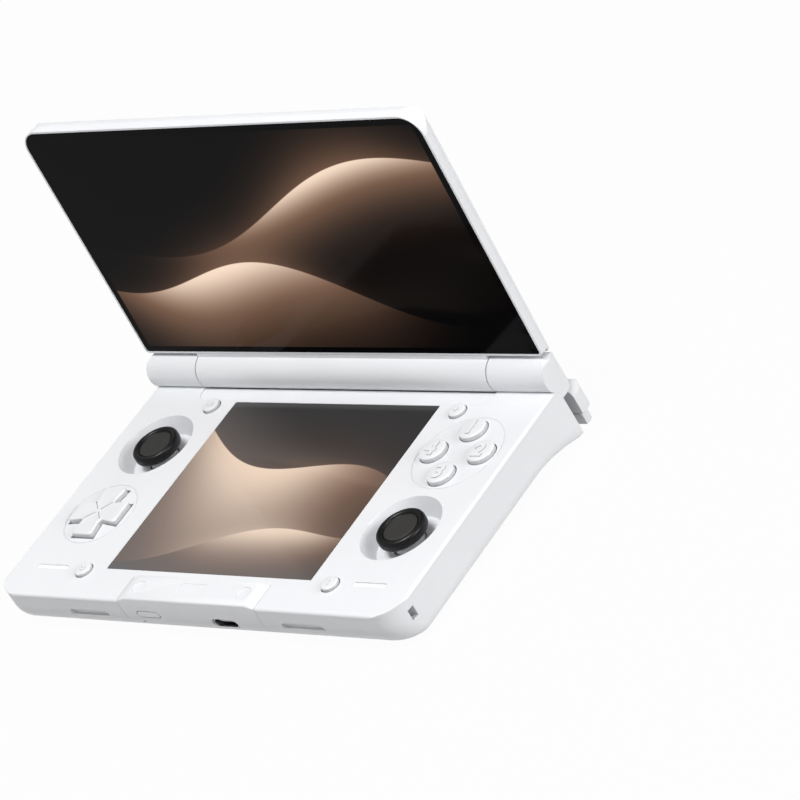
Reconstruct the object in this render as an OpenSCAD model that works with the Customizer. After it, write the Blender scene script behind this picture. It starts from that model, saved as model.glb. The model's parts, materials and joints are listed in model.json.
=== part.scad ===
// Clamshell handheld game console, drawn as it rests open on a table.
// Millimetres. Every piece is drawn in the device's own frame: origin at the
// middle of the lower screen on the top face, X to the right, Y towards the
// hinge, Z up. on_table() then tips it onto its feet, which are the two grip
// humps at the back and the rounded front edge.

/* [Base] */
// Width of the base and the lid
body_w = 150; // [150:1:160]
// From the middle of the lower screen to the front edge
base_front = 45; // [45:0.5:50]
// From the middle of the lower screen to the back face
base_back = 49.2; // [49:0.2:51]
// Thickness of the base without its humps
base_t = 13.4; // [13.4:0.2:16]
// Radius of the front corners seen from above
front_corner_r = 8; // [5:0.5:9]
// Radius of the back corners seen from above
back_corner_r = 6; // [5:0.5:9]
// Rounding of the lower side edges
side_edge_r = 3; // [1.8:0.2:3.6]
// Rounding of the lower front edge
front_edge_r = 8.4; // [5:0.2:8.6]
// Wall of the lower shell
wall = 1.6; // [1.2:0.1:1.6]
// Thickness of the upper shell's face
face_t = 1.4; // [1.2:0.1:1.5]
// Easing of the face's outer edge
top_edge_r = 0.8; // [0.4:0.1:1.2]
// How far the grip humps reach below the base
hump_drop = 3.2; // [1.6:0.2:5]
// Width of each grip hump
hump_w = 43; // [38:1:44]
// Where the humps start to swell
hump_start = 22; // [12:1:26]

/* [Hinge] */
// Hinge axis behind the middle of the lower screen
hinge_y = 43.6; // [43.4:0.1:44]
// Hinge axis above the top face
hinge_z = 3.3; // [3:0.1:3.6]
// Radius of the barrel and the knuckles
barrel_r = 5.4; // [5.2:0.1:5.5]
// Half the length of the lid's barrel
barrel_half = 54.9; // [50:0.5:57]
// Gap between moving casings
hinge_gap = 0.35; // [0.3:0.05:0.4]
// Rounding of the hinge's outer ends
knuckle_end_r = 1.4; // [0.8:0.2:5]
// Radius of the steel hinge pins
pin_r = 2; // [1.8:0.1:2.2]
// Radial clearance of a pin in its bush
running_gap = 0.05; // [0.03:0.01:0.08]
// Outer radius of the hinge bush
bush_r = 3.4; // [3:0.1:3.6]
// Length of the hinge bush
bush_len = 10; // [8:0.5:12]
// Length of pin held in the barrel
pin_grip = 12; // [8:0.5:16]
// Lean of the open lid behind the square
lid_lean = 2.7; // [0:0.1:6]

/* [Lid] */
// Thickness of the lid
lid_t = 6.8; // [6.6:0.1:7]
// Height of the glass on the lid
lid_glass_h = 77.6; // [72:0.2:78]
// Start of the glass above the hinge axis
lid_glass_s = 7.3; // [7.1:0.1:8]
// Rim of the lid around its glass
lid_rim = 0.7; // [0.5:0.1:1]
// Front of the glass ahead of the hinge axis
lid_front_n = 1.3; // [1.2:0.1:1.7]
// Front half of the lid's edge, ahead of its seam
lid_seam = 3; // [2.8:0.1:3.2]
// Radius of the lid's far corners
lid_corner_r = 7; // [5:0.5:8]
// Rounding of the lid's far back edge
lid_edge_r = 3.6; // [2:0.2:3.6]
// Rounding of the lid's sides towards its back
lid_side_r = 6.2; // [3.6:0.2:6.2]
// Wall of the lid's back
lid_wall = 1.2; // [1:0.1:1.3]

/* [Screens] */
// Width of the lower glass
low_glass_w = 77.2; // [72:0.2:78]
// Height of the lower glass
low_glass_h = 66.7; // [62:0.1:67]
// Thickness of both glasses
glass_t = 0.8; // [0.6:0.1:0.9]
// Thickness of the lower display
low_panel_t = 2; // [1.6:0.1:2]
// Thickness of the upper display
up_panel_t = 1.5; // [1.3:0.1:1.6]
// Margin of a display inside its glass
panel_margin = 1; // [0.8:0.1:2]
// Gap around a glass
glass_gap = 0.1; // [0.05:0.05:0.2]

/* [Controls] */
// Distance of the control columns from the middle
column_x = 57.3; // [57:0.1:58]
// Distance of the right stick from the middle
right_stick_x = 56.3; // [56:0.1:57.5]
// Upper row of the left stick and the face buttons
upper_y = 15.4; // [14.8:0.2:16]
// Lower row of the direction pad and the right stick
lower_y = -12.9; // [-13.4:0.1:-12.6]
// Radius of a stick well at the face
well_r = 12.1; // [11.7:0.1:12.2]
// Depth of a stick well
well_d = 5.3; // [5.2:0.1:5.4]
// Radius of a stick cap
cap_r = 7.2; // [6:0.1:7.3]
// Height of a stick cap
cap_t = 3.3; // [3:0.1:3.4]
// Top of the sticks above the face
cap_top = 0.8; // [0.6:0.1:1.3]
// Depth of the sticks' pivot below the face
pivot_d = 8.3; // [8.2:0.1:8.3]
// Radius of the moving dome of a stick
dome_r = 5.1; // [4.9:0.1:5.1]
// Radius of the stick stems
stem_r = 1.5; // [1.3:0.1:1.6]
// Radius of a face button
button_r = 4.1; // [3.8:0.1:4.4]
// Distance of the face buttons from the middle of their group
button_pitch = 8.5; // [8.3:0.1:8.7]
// Height of the buttons above the face
button_h = 1.6; // [0.8:0.1:1.7]
// Radius of the small round buttons
small_r = 2.6; // [2.3:0.1:2.7]
// Height of the small buttons above the face
small_h = 1.1; // [0.5:0.1:1.2]
// Distance of the small buttons from the middle
small_x = 46.6; // [46.4:0.1:47]
// Row of the upper small buttons
small_upper_y = 31.2; // [31:0.1:32]
// Row of the lower small buttons
small_lower_y = -34.7; // [-34.8:0.1:-34.4]
// Gap around a button in its hole
button_gap = 0.25; // [0.2:0.05:0.3]
// Width of the direction pad's arms at their tips
pad_arm_w = 8.6; // [7:0.2:9]
// Width of the direction pad's arms at the middle
pad_waist_w = 5.6; // [5:0.2:6.4]
// Half span of the direction pad
pad_half = 9.4; // [9:0.1:9.6]
// Radius of the ring line around the direction pad
pad_ring_r = 11.8; // [11.2:0.1:12]
// Radius of the ring line around the face buttons
button_ring_r = 13.9; // [13.7:0.1:14.2]
// Width of a ring line
ring_w = 0.35; // [0.2:0.05:0.6]
// Depth of a ring line
ring_d = 0.15; // [0.1:0.05:0.3]

/* [Shoulder] */
// Inner end of the bumpers and triggers
shoulder_x = 31.5; // [31:0.5:33]
// Outer end of the bumpers, in from the side
shoulder_inset = 0.4; // [0.4:0.2:3]
// Top of the shoulder pocket below the face
pocket_top = 3.8; // [3.7:0.1:4]
// Front wall of the shoulder pocket
pocket_y = 41.4; // [41.2:0.1:41.6]
// Depth of a bumper from front to back
bumper_d = 5.2; // [5:0.1:6.4]
// Height of a bumper
bumper_h = 8.6; // [7:0.1:8.6]
// Height of a trigger
trigger_h = 3.4; // [3:0.1:4]
// How far a bumper stands out of the back face
bumper_proud = 0.9; // [0.3:0.1:1]
// Gap around the shoulder keys
shoulder_gap = 0.35; // [0.3:0.05:0.4]
// Radius of the shoulder keys' pins
shoulder_pin_r = 1; // [0.8:0.1:1.2]

/* [Ports] */
// Width of the front insert
insert_w = 51.8; // [48:0.2:52]
// Depth of the front insert on the face
insert_d = 8.8; // [8:0.2:9.2]
// How far the front insert stands above the face
insert_rise = 1; // [0.3:0.1:1.2]
// Width of the speaker openings in the front wall
speaker_w = 15; // [12:0.5:17]
// Height of the speaker openings in the front wall
speaker_h = 2.4; // [1.6:0.1:2.8]
// Distance of the speaker openings from the middle
speaker_x = 40.4; // [40:0.2:42]
// Width of the charging port's mouth
usb_w = 8.4; // [8.3:0.1:8.6]
// Height of the charging port's mouth
usb_h = 2.6; // [2.5:0.1:2.8]
// Charging port to the right of the middle
usb_x = 11.4; // [11:0.1:12]
// Width of the power button
power_w = 8.4; // [7:0.1:9]
// Height of the power button
power_h = 1.9; // [1.8:0.1:2.6]
// Power button to the left of the middle
power_x = 16.6; // [15.6:0.1:17]
// Inner radius of the headphone socket
jack_r = 1.75; // [1.7:0.05:1.8]
// Depth of the headphone socket
jack_len = 12; // [10:0.5:12.5]
// Width of the volume rocker
volume_w = 20; // [16:0.5:20]
// Height of the volume rocker
volume_h = 2.4; // [2:0.1:2.6]

/* [Hidden] */
$fn = 48;

WHITE = "white";
BLACK = [0.07, 0.07, 0.07];
DARK = [0.2, 0.2, 0.22];
STEEL = "silver";
BOARD = "darkgreen";
TINY = 0.01;
FIT = 0.03;

half_w = body_w / 2;
hump_z = -base_t - hump_drop;
floor_z = wall - base_t;
hump_steps = 10;
hump_edge_r = 1;

// Rest on the table: the hump ridge and the front rounding both touch it.
hump_y = pocket_y - 0.4;
tilt_reach = hump_y + base_front - front_edge_r;
tilt_fall = front_edge_r - base_t - hump_z;
rest_tilt = acos(front_edge_r / norm([tilt_reach, tilt_fall])) - atan2(tilt_reach, tilt_fall);
rest_lift = -(hump_y * sin(rest_tilt) + hump_z * cos(rest_tilt));

bumper_top = -pocket_top - shoulder_gap;
bumper_low = bumper_top - bumper_h;
bumper_back = base_back + bumper_proud;
bumper_front = bumper_back - bumper_d;
trigger_top = bumper_low - shoulder_gap;
trigger_low = trigger_top - trigger_h;

lid_low = lid_glass_s - lid_rim;
lid_high = lid_glass_s + lid_glass_h + lid_rim;
lid_heel = lid_low - 0.7;
front_y = -lid_front_n;
seam_y = front_y + lid_seam;
back_y = front_y + lid_t;
glass_w = body_w - 2 * lid_rim;

// Middle of the whole from front to back, for the origin on the table.
lid_top_y = hinge_y + lid_high * sin(lid_lean) + back_y * cos(lid_lean);
lid_top_z = hinge_z + lid_high * cos(lid_lean) - back_y * sin(lid_lean);
back_reach = max(
    bumper_back * cos(rest_tilt) - bumper_low * sin(rest_tilt),
    lid_top_y * cos(rest_tilt) - lid_top_z * sin(rest_tilt)
);
front_reach = base_front * cos(rest_tilt) + insert_rise * sin(rest_tilt);
origin_y = (back_reach - front_reach) / 2;

module on_table() {
    translate([0, -origin_y, rest_lift])
        rotate([rest_tilt, 0, 0])
            children();
}

// Frame of the open lid: Z up the lid from the hinge axis, Y towards its back.
module on_lid() {
    translate([0, hinge_y, hinge_z])
        rotate([-lid_lean, 0, 0])
            children();
}

// ---- helpers --------------------------------------------------------------

module area(x0, y0, x1, y1) {
    translate([x0, y0])
        square([x1 - x0, y1 - y0]);
}

// What rounding takes off a corner at (x, y) whose metal lies towards (sx, sy).
module corner_cut(x, y, sx, sy, r) {
    difference() {
        translate([x - (sx < 0 ? r : TINY), y - (sy < 0 ? r : TINY)])
            square([r + TINY, r + TINY]);
        translate([x + sx * r, y + sy * r])
            circle(r);
    }
}

module box(x0, x1, y0, y1, z0, z1) {
    translate([x0, y0, z0])
        cube([x1 - x0, y1 - y0, z1 - z0]);
}

module post(x, y, z0, z1, r) {
    translate([x, y, z0])
        cylinder(z1 - z0, r = r);
}

module along_x(x0, x1) {
    translate([x0, 0, 0])
        rotate([90, 0, 90])
            linear_extrude(x1 - x0)
                children();
}

module along_y(y0, y1) {
    translate([0, y1, 0])
        rotate([90, 0, 0])
            linear_extrude(y1 - y0)
                children();
}

module along_z(z0, z1) {
    translate([0, 0, z0])
        linear_extrude(z1 - z0)
            children();
}

// Bar with round ends, w long and h high.
module pill(x, y, w, h) {
    translate([x, y]) {
        square([w - h, h], center = true);
        for (s = [-1, 1])
            translate([s * (w - h) / 2, 0])
                circle(h / 2);
    }
}

// Round bar from p to q.
module rod(p, q, r) {
    v = q - p;
    translate(p)
        rotate([0, acos(v.z / norm(v)), atan2(v.y, v.x)])
            cylinder(norm(v), r = r);
}

module hinge_rod(x0, x1, r) {
    rod([x0, hinge_y, hinge_z], [x1, hinge_y, hinge_z], r);
}

module pair() {
    children();
    mirror([1, 0, 0])
        children();
}

module at_left_stick() { translate([-column_x, upper_y, 0]) children(); }
module at_right_stick() { translate([right_stick_x, lower_y, 0]) children(); }
module at_pad() { translate([-column_x, lower_y, 0]) children(); }
module at_buttons() { translate([column_x, upper_y, 0]) children(); }

module four_buttons() {
    for (a = [0:90:270])
        translate([button_pitch * cos(a), button_pitch * sin(a), 0])
            children();
}

module four_small() {
    for (x = [-small_x, small_x])
        for (y = [small_lower_y, small_upper_y])
            translate([x, y, 0])
                children();
}

// ---- base outlines ----------------------------------------------------------

module base_plan(inset = 0) {
    x = half_w - inset;
    y0 = inset - base_front;
    y1 = base_back - inset;
    difference() {
        area(-x, y0, x, y1);
        for (s = [-1, 1]) {
            corner_cut(s * x, y0, -s, 1, front_corner_r - inset);
            corner_cut(s * x, y1, -s, -1, back_corner_r - inset);
        }
    }
}

module base_section(inset = 0) {
    x = half_w - inset;
    z = inset - base_t;
    difference() {
        area(-x, z, x, 0);
        for (s = [-1, 1])
            corner_cut(s * x, z, -s, 1, side_edge_r - inset);
    }
}

module base_profile(inset = 0) {
    y = inset - base_front;
    z = inset - base_t;
    difference() {
        area(y, z, base_back, 0);
        corner_cut(y, z, 1, 1, front_edge_r - inset);
    }
}

module base_body(inset = 0) {
    intersection() {
        along_z(-base_t, -face_t)
            base_plan(inset);
        along_y(-base_front, base_back)
            base_section(inset);
        along_x(-half_w, half_w)
            base_profile(inset);
    }
}

module hump_profile(inset) {
    y1 = pocket_y - inset;
    z0 = inset - base_t;
    line = [
        for (i = [0:hump_steps])
            let (t = i / hump_steps)
                [hump_start + t * (hump_y - inset - hump_start), z0 - hump_drop * t * t]
    ];
    polygon(concat([[hump_start, -face_t]], line, [[y1, inset + hump_z], [y1, -face_t]]));
}

module hump_section(inset) {
    x1 = half_w - inset;
    x0 = half_w - hump_w + inset;
    z = inset + hump_z;
    difference() {
        polygon([
            [x0, -face_t], [x0, inset - base_t], [x0 + 2 * hump_drop, z],
            [x1, z], [x1, -face_t]
        ]);
        corner_cut(x1, z, -1, 1, max(hump_edge_r - inset, TINY));
    }
}

// A hump leaves the flat underside and widens until it meets the side.
module hump_plan(inset) {
    x = half_w - inset;
    polygon([
        [0, hump_start], [x - side_edge_r, hump_start], [x, hump_y], [x, base_back], [0, base_back]
    ]);
}

module hump(inset = 0) {
    intersection() {
        along_x(0, half_w)
            hump_profile(inset);
        along_y(0, base_back)
            hump_section(inset);
        along_z(hump_z, 0)
            intersection() {
                base_plan(inset);
                hump_plan(inset);
            }
    }
}

module shoulder_pocket(grow, top) {
    box(shoulder_x - grow, half_w + 1, pocket_y - grow, base_back + 1, hump_z - 1, top);
}

// ---- base casing ----------------------------------------------------------

knuckle_in = barrel_half + hinge_gap;
trough_r = barrel_r + hinge_gap;
trough_wall = 0.8;
back_relief = 0.8;
ledge_y = 34;
ledge_d = 0.4;
ledge_r = 3.6;
well_low_r = well_r - 2.3;
well_wall = 0.8;
well_floor = 0.5;
dome_hole_r = dome_r - 0.2;
pad_tilt_gap = 0.35;
pad_relief = 1;
flange_r = pad_half + 0.4;
slot_w = 12;
slot_h = 1.5;
slot_x = column_x + 2.5;
slot_y = -33.8;
speaker_z = -5.8;
usb_z = -6.6;
power_z = -4.8;
mic_x = -20.8;
mic_z = -8.2;
mic_r = 0.45;
insert_low = -9.4;
insert_ramp = 3.2;
seam = 0.12;
strap_y = -38;
strap_z = -5;
strap_w = 2.2;
strap_h = 3.4;
strap_bar = 2;
strap_deep = 4.4;
boss_r = 2.2;
screw_r = 1;
screw_head_r = 1.8;
screw_head_z = -12;
screw_seat = screw_head_z + 1.6;
boss_low = screw_seat + FIT;
jack_x = -18;
jack_z = -9;
card_x = 20;
card_z = -4.45;
volume_z = -5.7;
screw_x = half_w - 3.8;
shell_screws = [
    [screw_x, 33], [-screw_x, 33], [screw_x, -27], [-screw_x, -27],
    [29.6, -36.7], [-29.6, -36.7], [0, 36]
];

module lower_screen_room() {
    w = low_glass_w + 2 * glass_gap;
    h = low_glass_h + 2 * glass_gap;
    m = panel_margin;
    box(-w / 2, w / 2, -h / 2, h / 2, -glass_t - FIT, 1);
    box(m - w / 2, w / 2 - m, m - h / 2, h / 2 - m, -face_t - 1, 0);
}

module well_room() {
    translate([0, 0, -well_d])
        cylinder(well_d + TINY, r1 = well_low_r, r2 = well_r);
    post(0, 0, -well_d - 1, -well_d + 1, dome_hole_r);
}

module well_body() {
    h = well_d + well_floor;
    translate([0, 0, -h])
        cylinder(h - TINY, r1 = well_low_r + well_wall, r2 = well_r + well_wall);
}

// Two crossed bars that widen towards their tips.
module pad_outline(grow) {
    x = pad_half + grow;
    y = pad_arm_w / 2 + grow;
    w = pad_waist_w / 2 + grow;
    for (a = [0, 90])
        rotate(a)
            polygon([[-x, -y], [0, -w], [x, -y], [x, y], [0, w], [-x, y]]);
}

module ring_line(r) {
    translate([0, 0, -ring_d])
        difference() {
            cylinder(1, r = r);
            translate([0, 0, -1])
                cylinder(3, r = r - ring_w);
        }
}

// Way for a strap, in at the right side and out underneath.
module strap_way() {
    y0 = strap_y - strap_w / 2;
    y1 = strap_y + strap_w / 2;
    x0 = half_w - strap_deep;
    box(x0, half_w + 1, y0, y1, strap_z - strap_h / 2, strap_z + strap_h / 2);
    box(x0, half_w - strap_bar, y0, y1, hump_z, strap_z);
}

// The face with its outer edge eased.
module face_plate() {
    intersection() {
        along_z(-face_t, 0)
            base_plan();
        along_y(-base_front, base_back)
            difference() {
                area(-half_w, -face_t, half_w, 0);
                for (s = [-1, 1])
                    corner_cut(s * half_w, 0, -s, -1, top_edge_r);
            }
        along_x(-half_w, half_w)
            difference() {
                area(-base_front, -face_t, base_back, 0);
                corner_cut(-base_front, 0, 1, -1, top_edge_r);
            }
    }
}

// The right end of the hinge, which is one with the upper shell.
module knuckle() {
    intersection() {
        union() {
            hinge_rod(knuckle_in, half_w, barrel_r);
            box(knuckle_in, half_w, hinge_y, base_back, -face_t, hinge_z);
            box(knuckle_in, half_w, hinge_y - 4, hinge_y + 1, -face_t, hinge_z);
        }
        along_z(-face_t, hinge_z + barrel_r + 1)
            base_plan();
        along_y(0, base_back)
            difference() {
                area(0, -face_t, half_w, hinge_z + barrel_r);
                corner_cut(half_w, hinge_z + barrel_r, -1, -1, knuckle_end_r);
            }
    }
}

// Shallow step in the face, ahead of the lid's barrel.
module hinge_ledge() {
    along_z(-ledge_d, 1)
        difference() {
            area(-knuckle_in, ledge_y, knuckle_in, hinge_y);
            for (s = [-1, 1])
                corner_cut(s * knuckle_in, ledge_y, -s, 1, ledge_r);
        }
}

module shoulder_shelf() {
    intersection() {
        box(shoulder_x, half_w, pocket_y, base_back, -pocket_top, -face_t + TINY);
        along_z(-pocket_top, 0)
            base_plan();
    }
}

cable_x = -(knuckle_in + bush_len + 2);
cable_r = 0.9;
cable_path = [[cable_x, hinge_y, hinge_z], [cable_x, 41.9, -2.2], [cable_x, 37, -2.4]];

module cable_channel() {
    hinge_rod(-knuckle_in - bush_len - 4, -knuckle_in - bush_len + 1, 2.2);
    box(cable_x - 1.4, cable_x + 1.4, 40.2, hinge_y + 1.1, -pocket_top + 0.5, hinge_z);
}

module base_top_shell() {
    color(WHITE)
        difference() {
            union() {
                face_plate();
                pair() {
                    knuckle();
                    shoulder_shelf();
                }
                at_left_stick()
                    well_body();
                at_right_stick()
                    well_body();
                intersection() {
                    hinge_rod(-knuckle_in - 1, knuckle_in + 1, trough_r + trough_wall);
                    box(-half_w, half_w, 0, base_back - wall - 0.1, -base_t, -TINY);
                }
                for (p = shell_screws)
                    post(p.x, p.y, boss_low, -TINY, boss_r);
            }
            hinge_rod(-knuckle_in, knuckle_in, trough_r);
            box(-knuckle_in, knuckle_in, hinge_y, base_back + 1, -back_relief, 1);
            hinge_ledge();
            pair()
                hinge_rod(knuckle_in - 1, knuckle_in + bush_len + FIT, bush_r + FIT);
            cable_channel();
            at_left_stick()
                well_room();
            at_right_stick()
                well_room();
            lower_screen_room();
            at_pad() {
                along_z(-face_t - 1, 1)
                    pad_outline(pad_tilt_gap);
                ring_line(pad_ring_r);
                post(0, 0, -face_t - 1, -pad_relief, flange_r + 0.5);
            }
            at_buttons() {
                four_buttons()
                    post(0, 0, -face_t - 1, 1, button_r + button_gap);
                ring_line(button_ring_r);
            }
            four_small()
                post(0, 0, -face_t - 1, 1, small_r + button_gap);
            pair()
                along_z(-face_t - 1, 1)
                    pill(slot_x, slot_y, slot_w, slot_h);
            box(
                -insert_w / 2 - seam, insert_w / 2 + seam,
                -base_front - 1, insert_d + seam - base_front, -face_t - 1, 1
            );
            for (p = shell_screws)
                post(p.x, p.y, boss_low - 1, -face_t - 1, screw_r + FIT);
            pair()
                post(shoulder_pin_x, shoulder_pin_y, -pocket_top - 1, pin_top + FIT, shoulder_pin_r + FIT);
        }
}

side_board_in = low_glass_w / 2 + 4.2;
side_board_out = half_w - 6.4;
side_posts = [
    [side_board_in + 3.2, -4], [side_board_out - 1.6, 34],
    [side_board_in + 3.2, 36], [side_board_out - 1.6, -30.5]
];
mid_posts = [[29.4, -30.6], [35.8, 27]];
board_low = -6.2;
side_board_low = -5.4;

module bottom_posts() {
    pair() {
        for (p = side_posts)
            post(p.x, p.y, hump_z, side_board_low - FIT, 1.4);
        for (p = mid_posts)
            post(p.x, p.y, hump_z, board_low - FIT, 1.6);
    }
    for (p = shell_screws)
        post(p.x, p.y, hump_z, screw_seat, boss_r + 0.4);
    box(half_w - strap_deep - wall, half_w, strap_y - 2.7, strap_y + 2.7, -base_t, strap_z + 3.3);
}

module base_bottom_shell() {
    color(WHITE)
        difference() {
            intersection() {
                union() {
                    base_body();
                    pair()
                        hump();
                }
                union() {
                    difference() {
                        box(-half_w, half_w, -base_front, base_back, hump_z, -face_t);
                        difference() {
                            union() {
                                translate([0, 0, TINY])
                                    base_body(wall);
                                pair()
                                    hump(wall);
                            }
                            pair()
                                shoulder_pocket(wall, 1);
                        }
                    }
                    bottom_posts();
                }
            }
            pair()
                shoulder_pocket(0, 1);
            hinge_rod(-knuckle_in - 1.4, knuckle_in + 1.4, trough_r + trough_wall + 0.1);
            for (p = shell_screws) {
                post(p.x, p.y, hump_z - 1, screw_head_z, screw_head_r + 0.15);
                post(p.x, p.y, hump_z - 1, 0, screw_r + 0.15);
                if (p.y > 30 && p.x != 0)
                    post(p.x, p.y, screw_seat, 0, boss_r + 0.1);
            }
            box(cable_x - 1.4, cable_x + 1.4, pocket_y - 4, pocket_y + 1, -pocket_top + 0.3, 1);
            strap_way();
            pair()
                along_y(-base_front - 1, 3 - base_front)
                    pill(speaker_x, speaker_z, speaker_w, speaker_h);
            box(
                -insert_w / 2 - seam, insert_w / 2 + seam,
                -base_front - 1, 5 - base_front, insert_low - seam, 1
            );
            along_y(base_back - 5, base_back + 1) {
                pill(0, volume_z, volume_w + 0.6, volume_h + 0.6);
                pill(card_x, card_z, 12, 1.4);
                translate([jack_x, jack_z])
                    circle(3.1);
            }
        }
}

module front_insert() {
    w = insert_w / 2;
    y0 = -base_front;
    y1 = insert_d - base_front;
    color(WHITE)
        difference() {
            union() {
                intersection() {
                    along_x(-w, w)
                        difference() {
                            area(y0, -face_t + FIT, y1, insert_rise);
                            corner_cut(y0, insert_rise, 1, -1, insert_rise);
                        }
                    along_y(y0, y1)
                        polygon([
                            [-w, -face_t], [w, -face_t], [w, 0], [w - insert_ramp, insert_rise],
                            [insert_ramp - w, insert_rise], [-w, 0]
                        ]);
                }
                intersection() {
                    along_x(-w, w)
                        difference() {
                            base_profile();
                            base_profile(wall);
                        }
                    box(-w, w, y0, y0 + 5 - seam, insert_low, -face_t + 2 * FIT);
                }
                box(-w, w, y0 + 0.2, y0 + wall, -face_t - 1, -face_t + 2 * FIT);
            }
            along_y(y0 - 1, y0 + 6) {
                pill(usb_x, usb_z, usb_w + 1, usb_h + 1);
                pill(-power_x, power_z, power_w + 2 * button_gap, power_h + 2 * button_gap);
                translate([mic_x, mic_z])
                    circle(mic_r);
            }
        }
}

module case_screws() {
    color(STEEL)
        for (p = shell_screws)
            difference() {
                union() {
                    post(p.x, p.y, screw_head_z - 1, screw_head_z - FIT, screw_head_r);
                    post(p.x, p.y, screw_head_z - FIT - TINY, -5.4, screw_r);
                }
                for (a = [0, 90])
                    translate([p.x, p.y, screw_head_z - 1])
                        rotate(a)
                            cube([2, 0.5, 1], center = true);
            }
}

// ---- screens and boards -----------------------------------------------------

module round_plate(w, h, r) {
    difference() {
        area(-w / 2, -h / 2, w / 2, h / 2);
        for (sx = [-1, 1])
            for (sy = [-1, 1])
                corner_cut(sx * w / 2, sy * h / 2, -sx, -sy, r);
    }
}

module lower_glass() {
    color(BLACK)
        along_z(-glass_t, 0)
            round_plate(low_glass_w, low_glass_h, 0.8);
}

display_low = -glass_t - 2 * FIT - low_panel_t;

module lower_display() {
    m = 2 * panel_margin + FIT;
    color(DARK)
        along_z(display_low, -glass_t - 2 * FIT)
            round_plate(low_glass_w - m, low_glass_h - m, 0.4);
}

frame_top = display_low - FIT;
frame_t = 0.7;
board_top = board_low + 1;

module mid_frame() {
    color(STEEL) {
        difference() {
            along_z(frame_top - frame_t, frame_top)
                round_plate(80, 70.4, 2);
            for (x = [-26:13:26])
                along_z(frame_top - 2, 1)
                    pill(x, -25, 7, 4);
            for (p = shell_screws)
                post(p.x, p.y, frame_top - 2, 1, boss_r + 0.3);
        }
        pair()
            for (y = [-30, 30])
                post(33, y, board_top + FIT, frame_top - frame_t + TINY, 1.4);
    }
}

module main_board() {
    color(BOARD)
        along_z(board_low, board_top)
            difference() {
                union() {
                    area(-37.6, -33.6, 37.6, 33);
                    area(3.4, -41.4, 20.6, -33);
                    area(-24.6, -41.4, -10.4, -33);
                    area(-28, 32, 28, 45.4);
                }
                area(usb_x - 4.8, -42, usb_x + 4.8, -36.4);
                for (s = [-1, 1])
                    translate([s * (speaker_x - 4.6), -32])
                        square([8, 4.6], center = true);
                translate([0, 36])
                    circle(3.4);
            }
    color(DARK) {
        box(-12, 2, -8, 6, board_top, board_top + 0.8);
        box(6, 15, -10, 2, board_top, board_top + 0.7);
        box(-30, -20, 8, 16, board_top, board_top + 0.6);
    }
}

module heat_spreader() {
    color("darkorange")
        along_z(board_top + 0.8 + FIT, frame_top - frame_t - 0.1)
            translate([0, 2])
                round_plate(46, 30, 2);
}

module battery() {
    color([0.25, 0.27, 0.3]) {
        along_z(floor_z + FIT, board_low - 0.9)
            round_plate(66, 50, 1.5);
        box(-6, 6, 25 - TINY, 27, floor_z + 1, floor_z + 2.4);
    }
}

module side_board(stick_x, stick_y) {
    color(BOARD)
        along_z(side_board_low, side_board_low + 1)
            difference() {
                union() {
                    area(side_board_in, -38.4, side_board_out - 5.6, 37.4);
                    area(side_board_in, -33, side_board_out, 37.4);
                }
                translate([stick_x, stick_y])
                    circle(well_r - 0.5);
                translate(shell_screws[2])
                    circle(boss_r + 0.5);
            }
}

module left_board() {
    mirror([1, 0, 0])
        side_board(column_x, upper_y);
}

module right_board() {
    side_board(right_stick_x, lower_y);
}

module speaker() {
    x0 = speaker_x - 7.6;
    x1 = speaker_x + 7.6;
    y0 = 4 - base_front;
    top = side_board_low - 0.4;
    color(DARK)
        difference() {
            union() {
                box(x0, x1, y0, y0 + 10.4, top - 4, top);
                box(x0, x1, y0 + 4.6, y0 + 10.4, floor_z + FIT, top);
            }
            box(x0 + 1, x1 - 1, y0 - 1, y0 + 2, speaker_z - 1, 0);
            post(speaker_x, y0 + 6, top - 1, 0, 3.6);
        }
}

module right_speaker() { speaker(); }
module left_speaker() { mirror([1, 0, 0]) speaker(); }

module usb_port() {
    y0 = 0.5 - base_front;
    color(STEEL)
        difference() {
            along_y(y0, y0 + 7.6)
                pill(usb_x, usb_z, usb_w + 0.6, usb_h + 0.6);
            along_y(y0 - 1, y0 + 6.4)
                pill(usb_x, usb_z, usb_w, usb_h);
        }
    color(BLACK)
        box(usb_x - 3.3, usb_x + 3.3, y0 + 1, y0 + 6.5, usb_z - 0.35, usb_z + 0.35);
}

module headphone_jack() {
    y1 = base_back - 0.2;
    color(BLACK)
        difference() {
            union() {
                along_y(y1 - 2.4, y1)
                    translate([jack_x, jack_z])
                        circle(2.9);
                box(jack_x - 3.2, jack_x + 3.2, y1 - 14, y1 - 2, -11.6, board_low - FIT);
            }
            along_y(y1 - jack_len, y1 + 1)
                translate([jack_x, jack_z])
                    circle(jack_r);
        }
}

module card_slot() {
    y1 = base_back - wall - 0.2;
    color(STEEL)
        difference() {
            box(card_x - 6.4, card_x + 6.4, y1 - 13, y1, board_top + FIT, board_top + 1.5);
            box(card_x - 5.6, card_x + 5.6, y1 - 12, y1 + 1, board_top + 0.3, board_top + 1.2);
        }
}

switch_top = -3.35;
plunger_top = -2.85;

module tact_switches() {
    color(STEEL) {
        four_small() {
            box(-1.8, 1.8, -1.8, 1.8, side_board_low + 1 + FIT, switch_top);
            post(0, 0, switch_top - TINY, plunger_top, 0.9);
        }
        box(-power_x - 2, 2 - power_x, 3.5 - base_front, 5.5 - base_front, board_top + FIT, -3.6);
        for (x = [-6, 6])
            box(x - 1.8, x + 1.8, base_back - 5, base_back - 3.4, board_top + FIT, -3.9);
    }
}

// ---- buttons ------------------------------------------------------------------

module face_membrane() {
    z = side_board_low + 1 + FIT;
    color([0.75, 0.75, 0.75])
        at_buttons() {
            post(0, 0, z, z + 0.4, 11);
            four_buttons()
                post(0, 0, z, -3.35, 2.6);
        }
}

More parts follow.
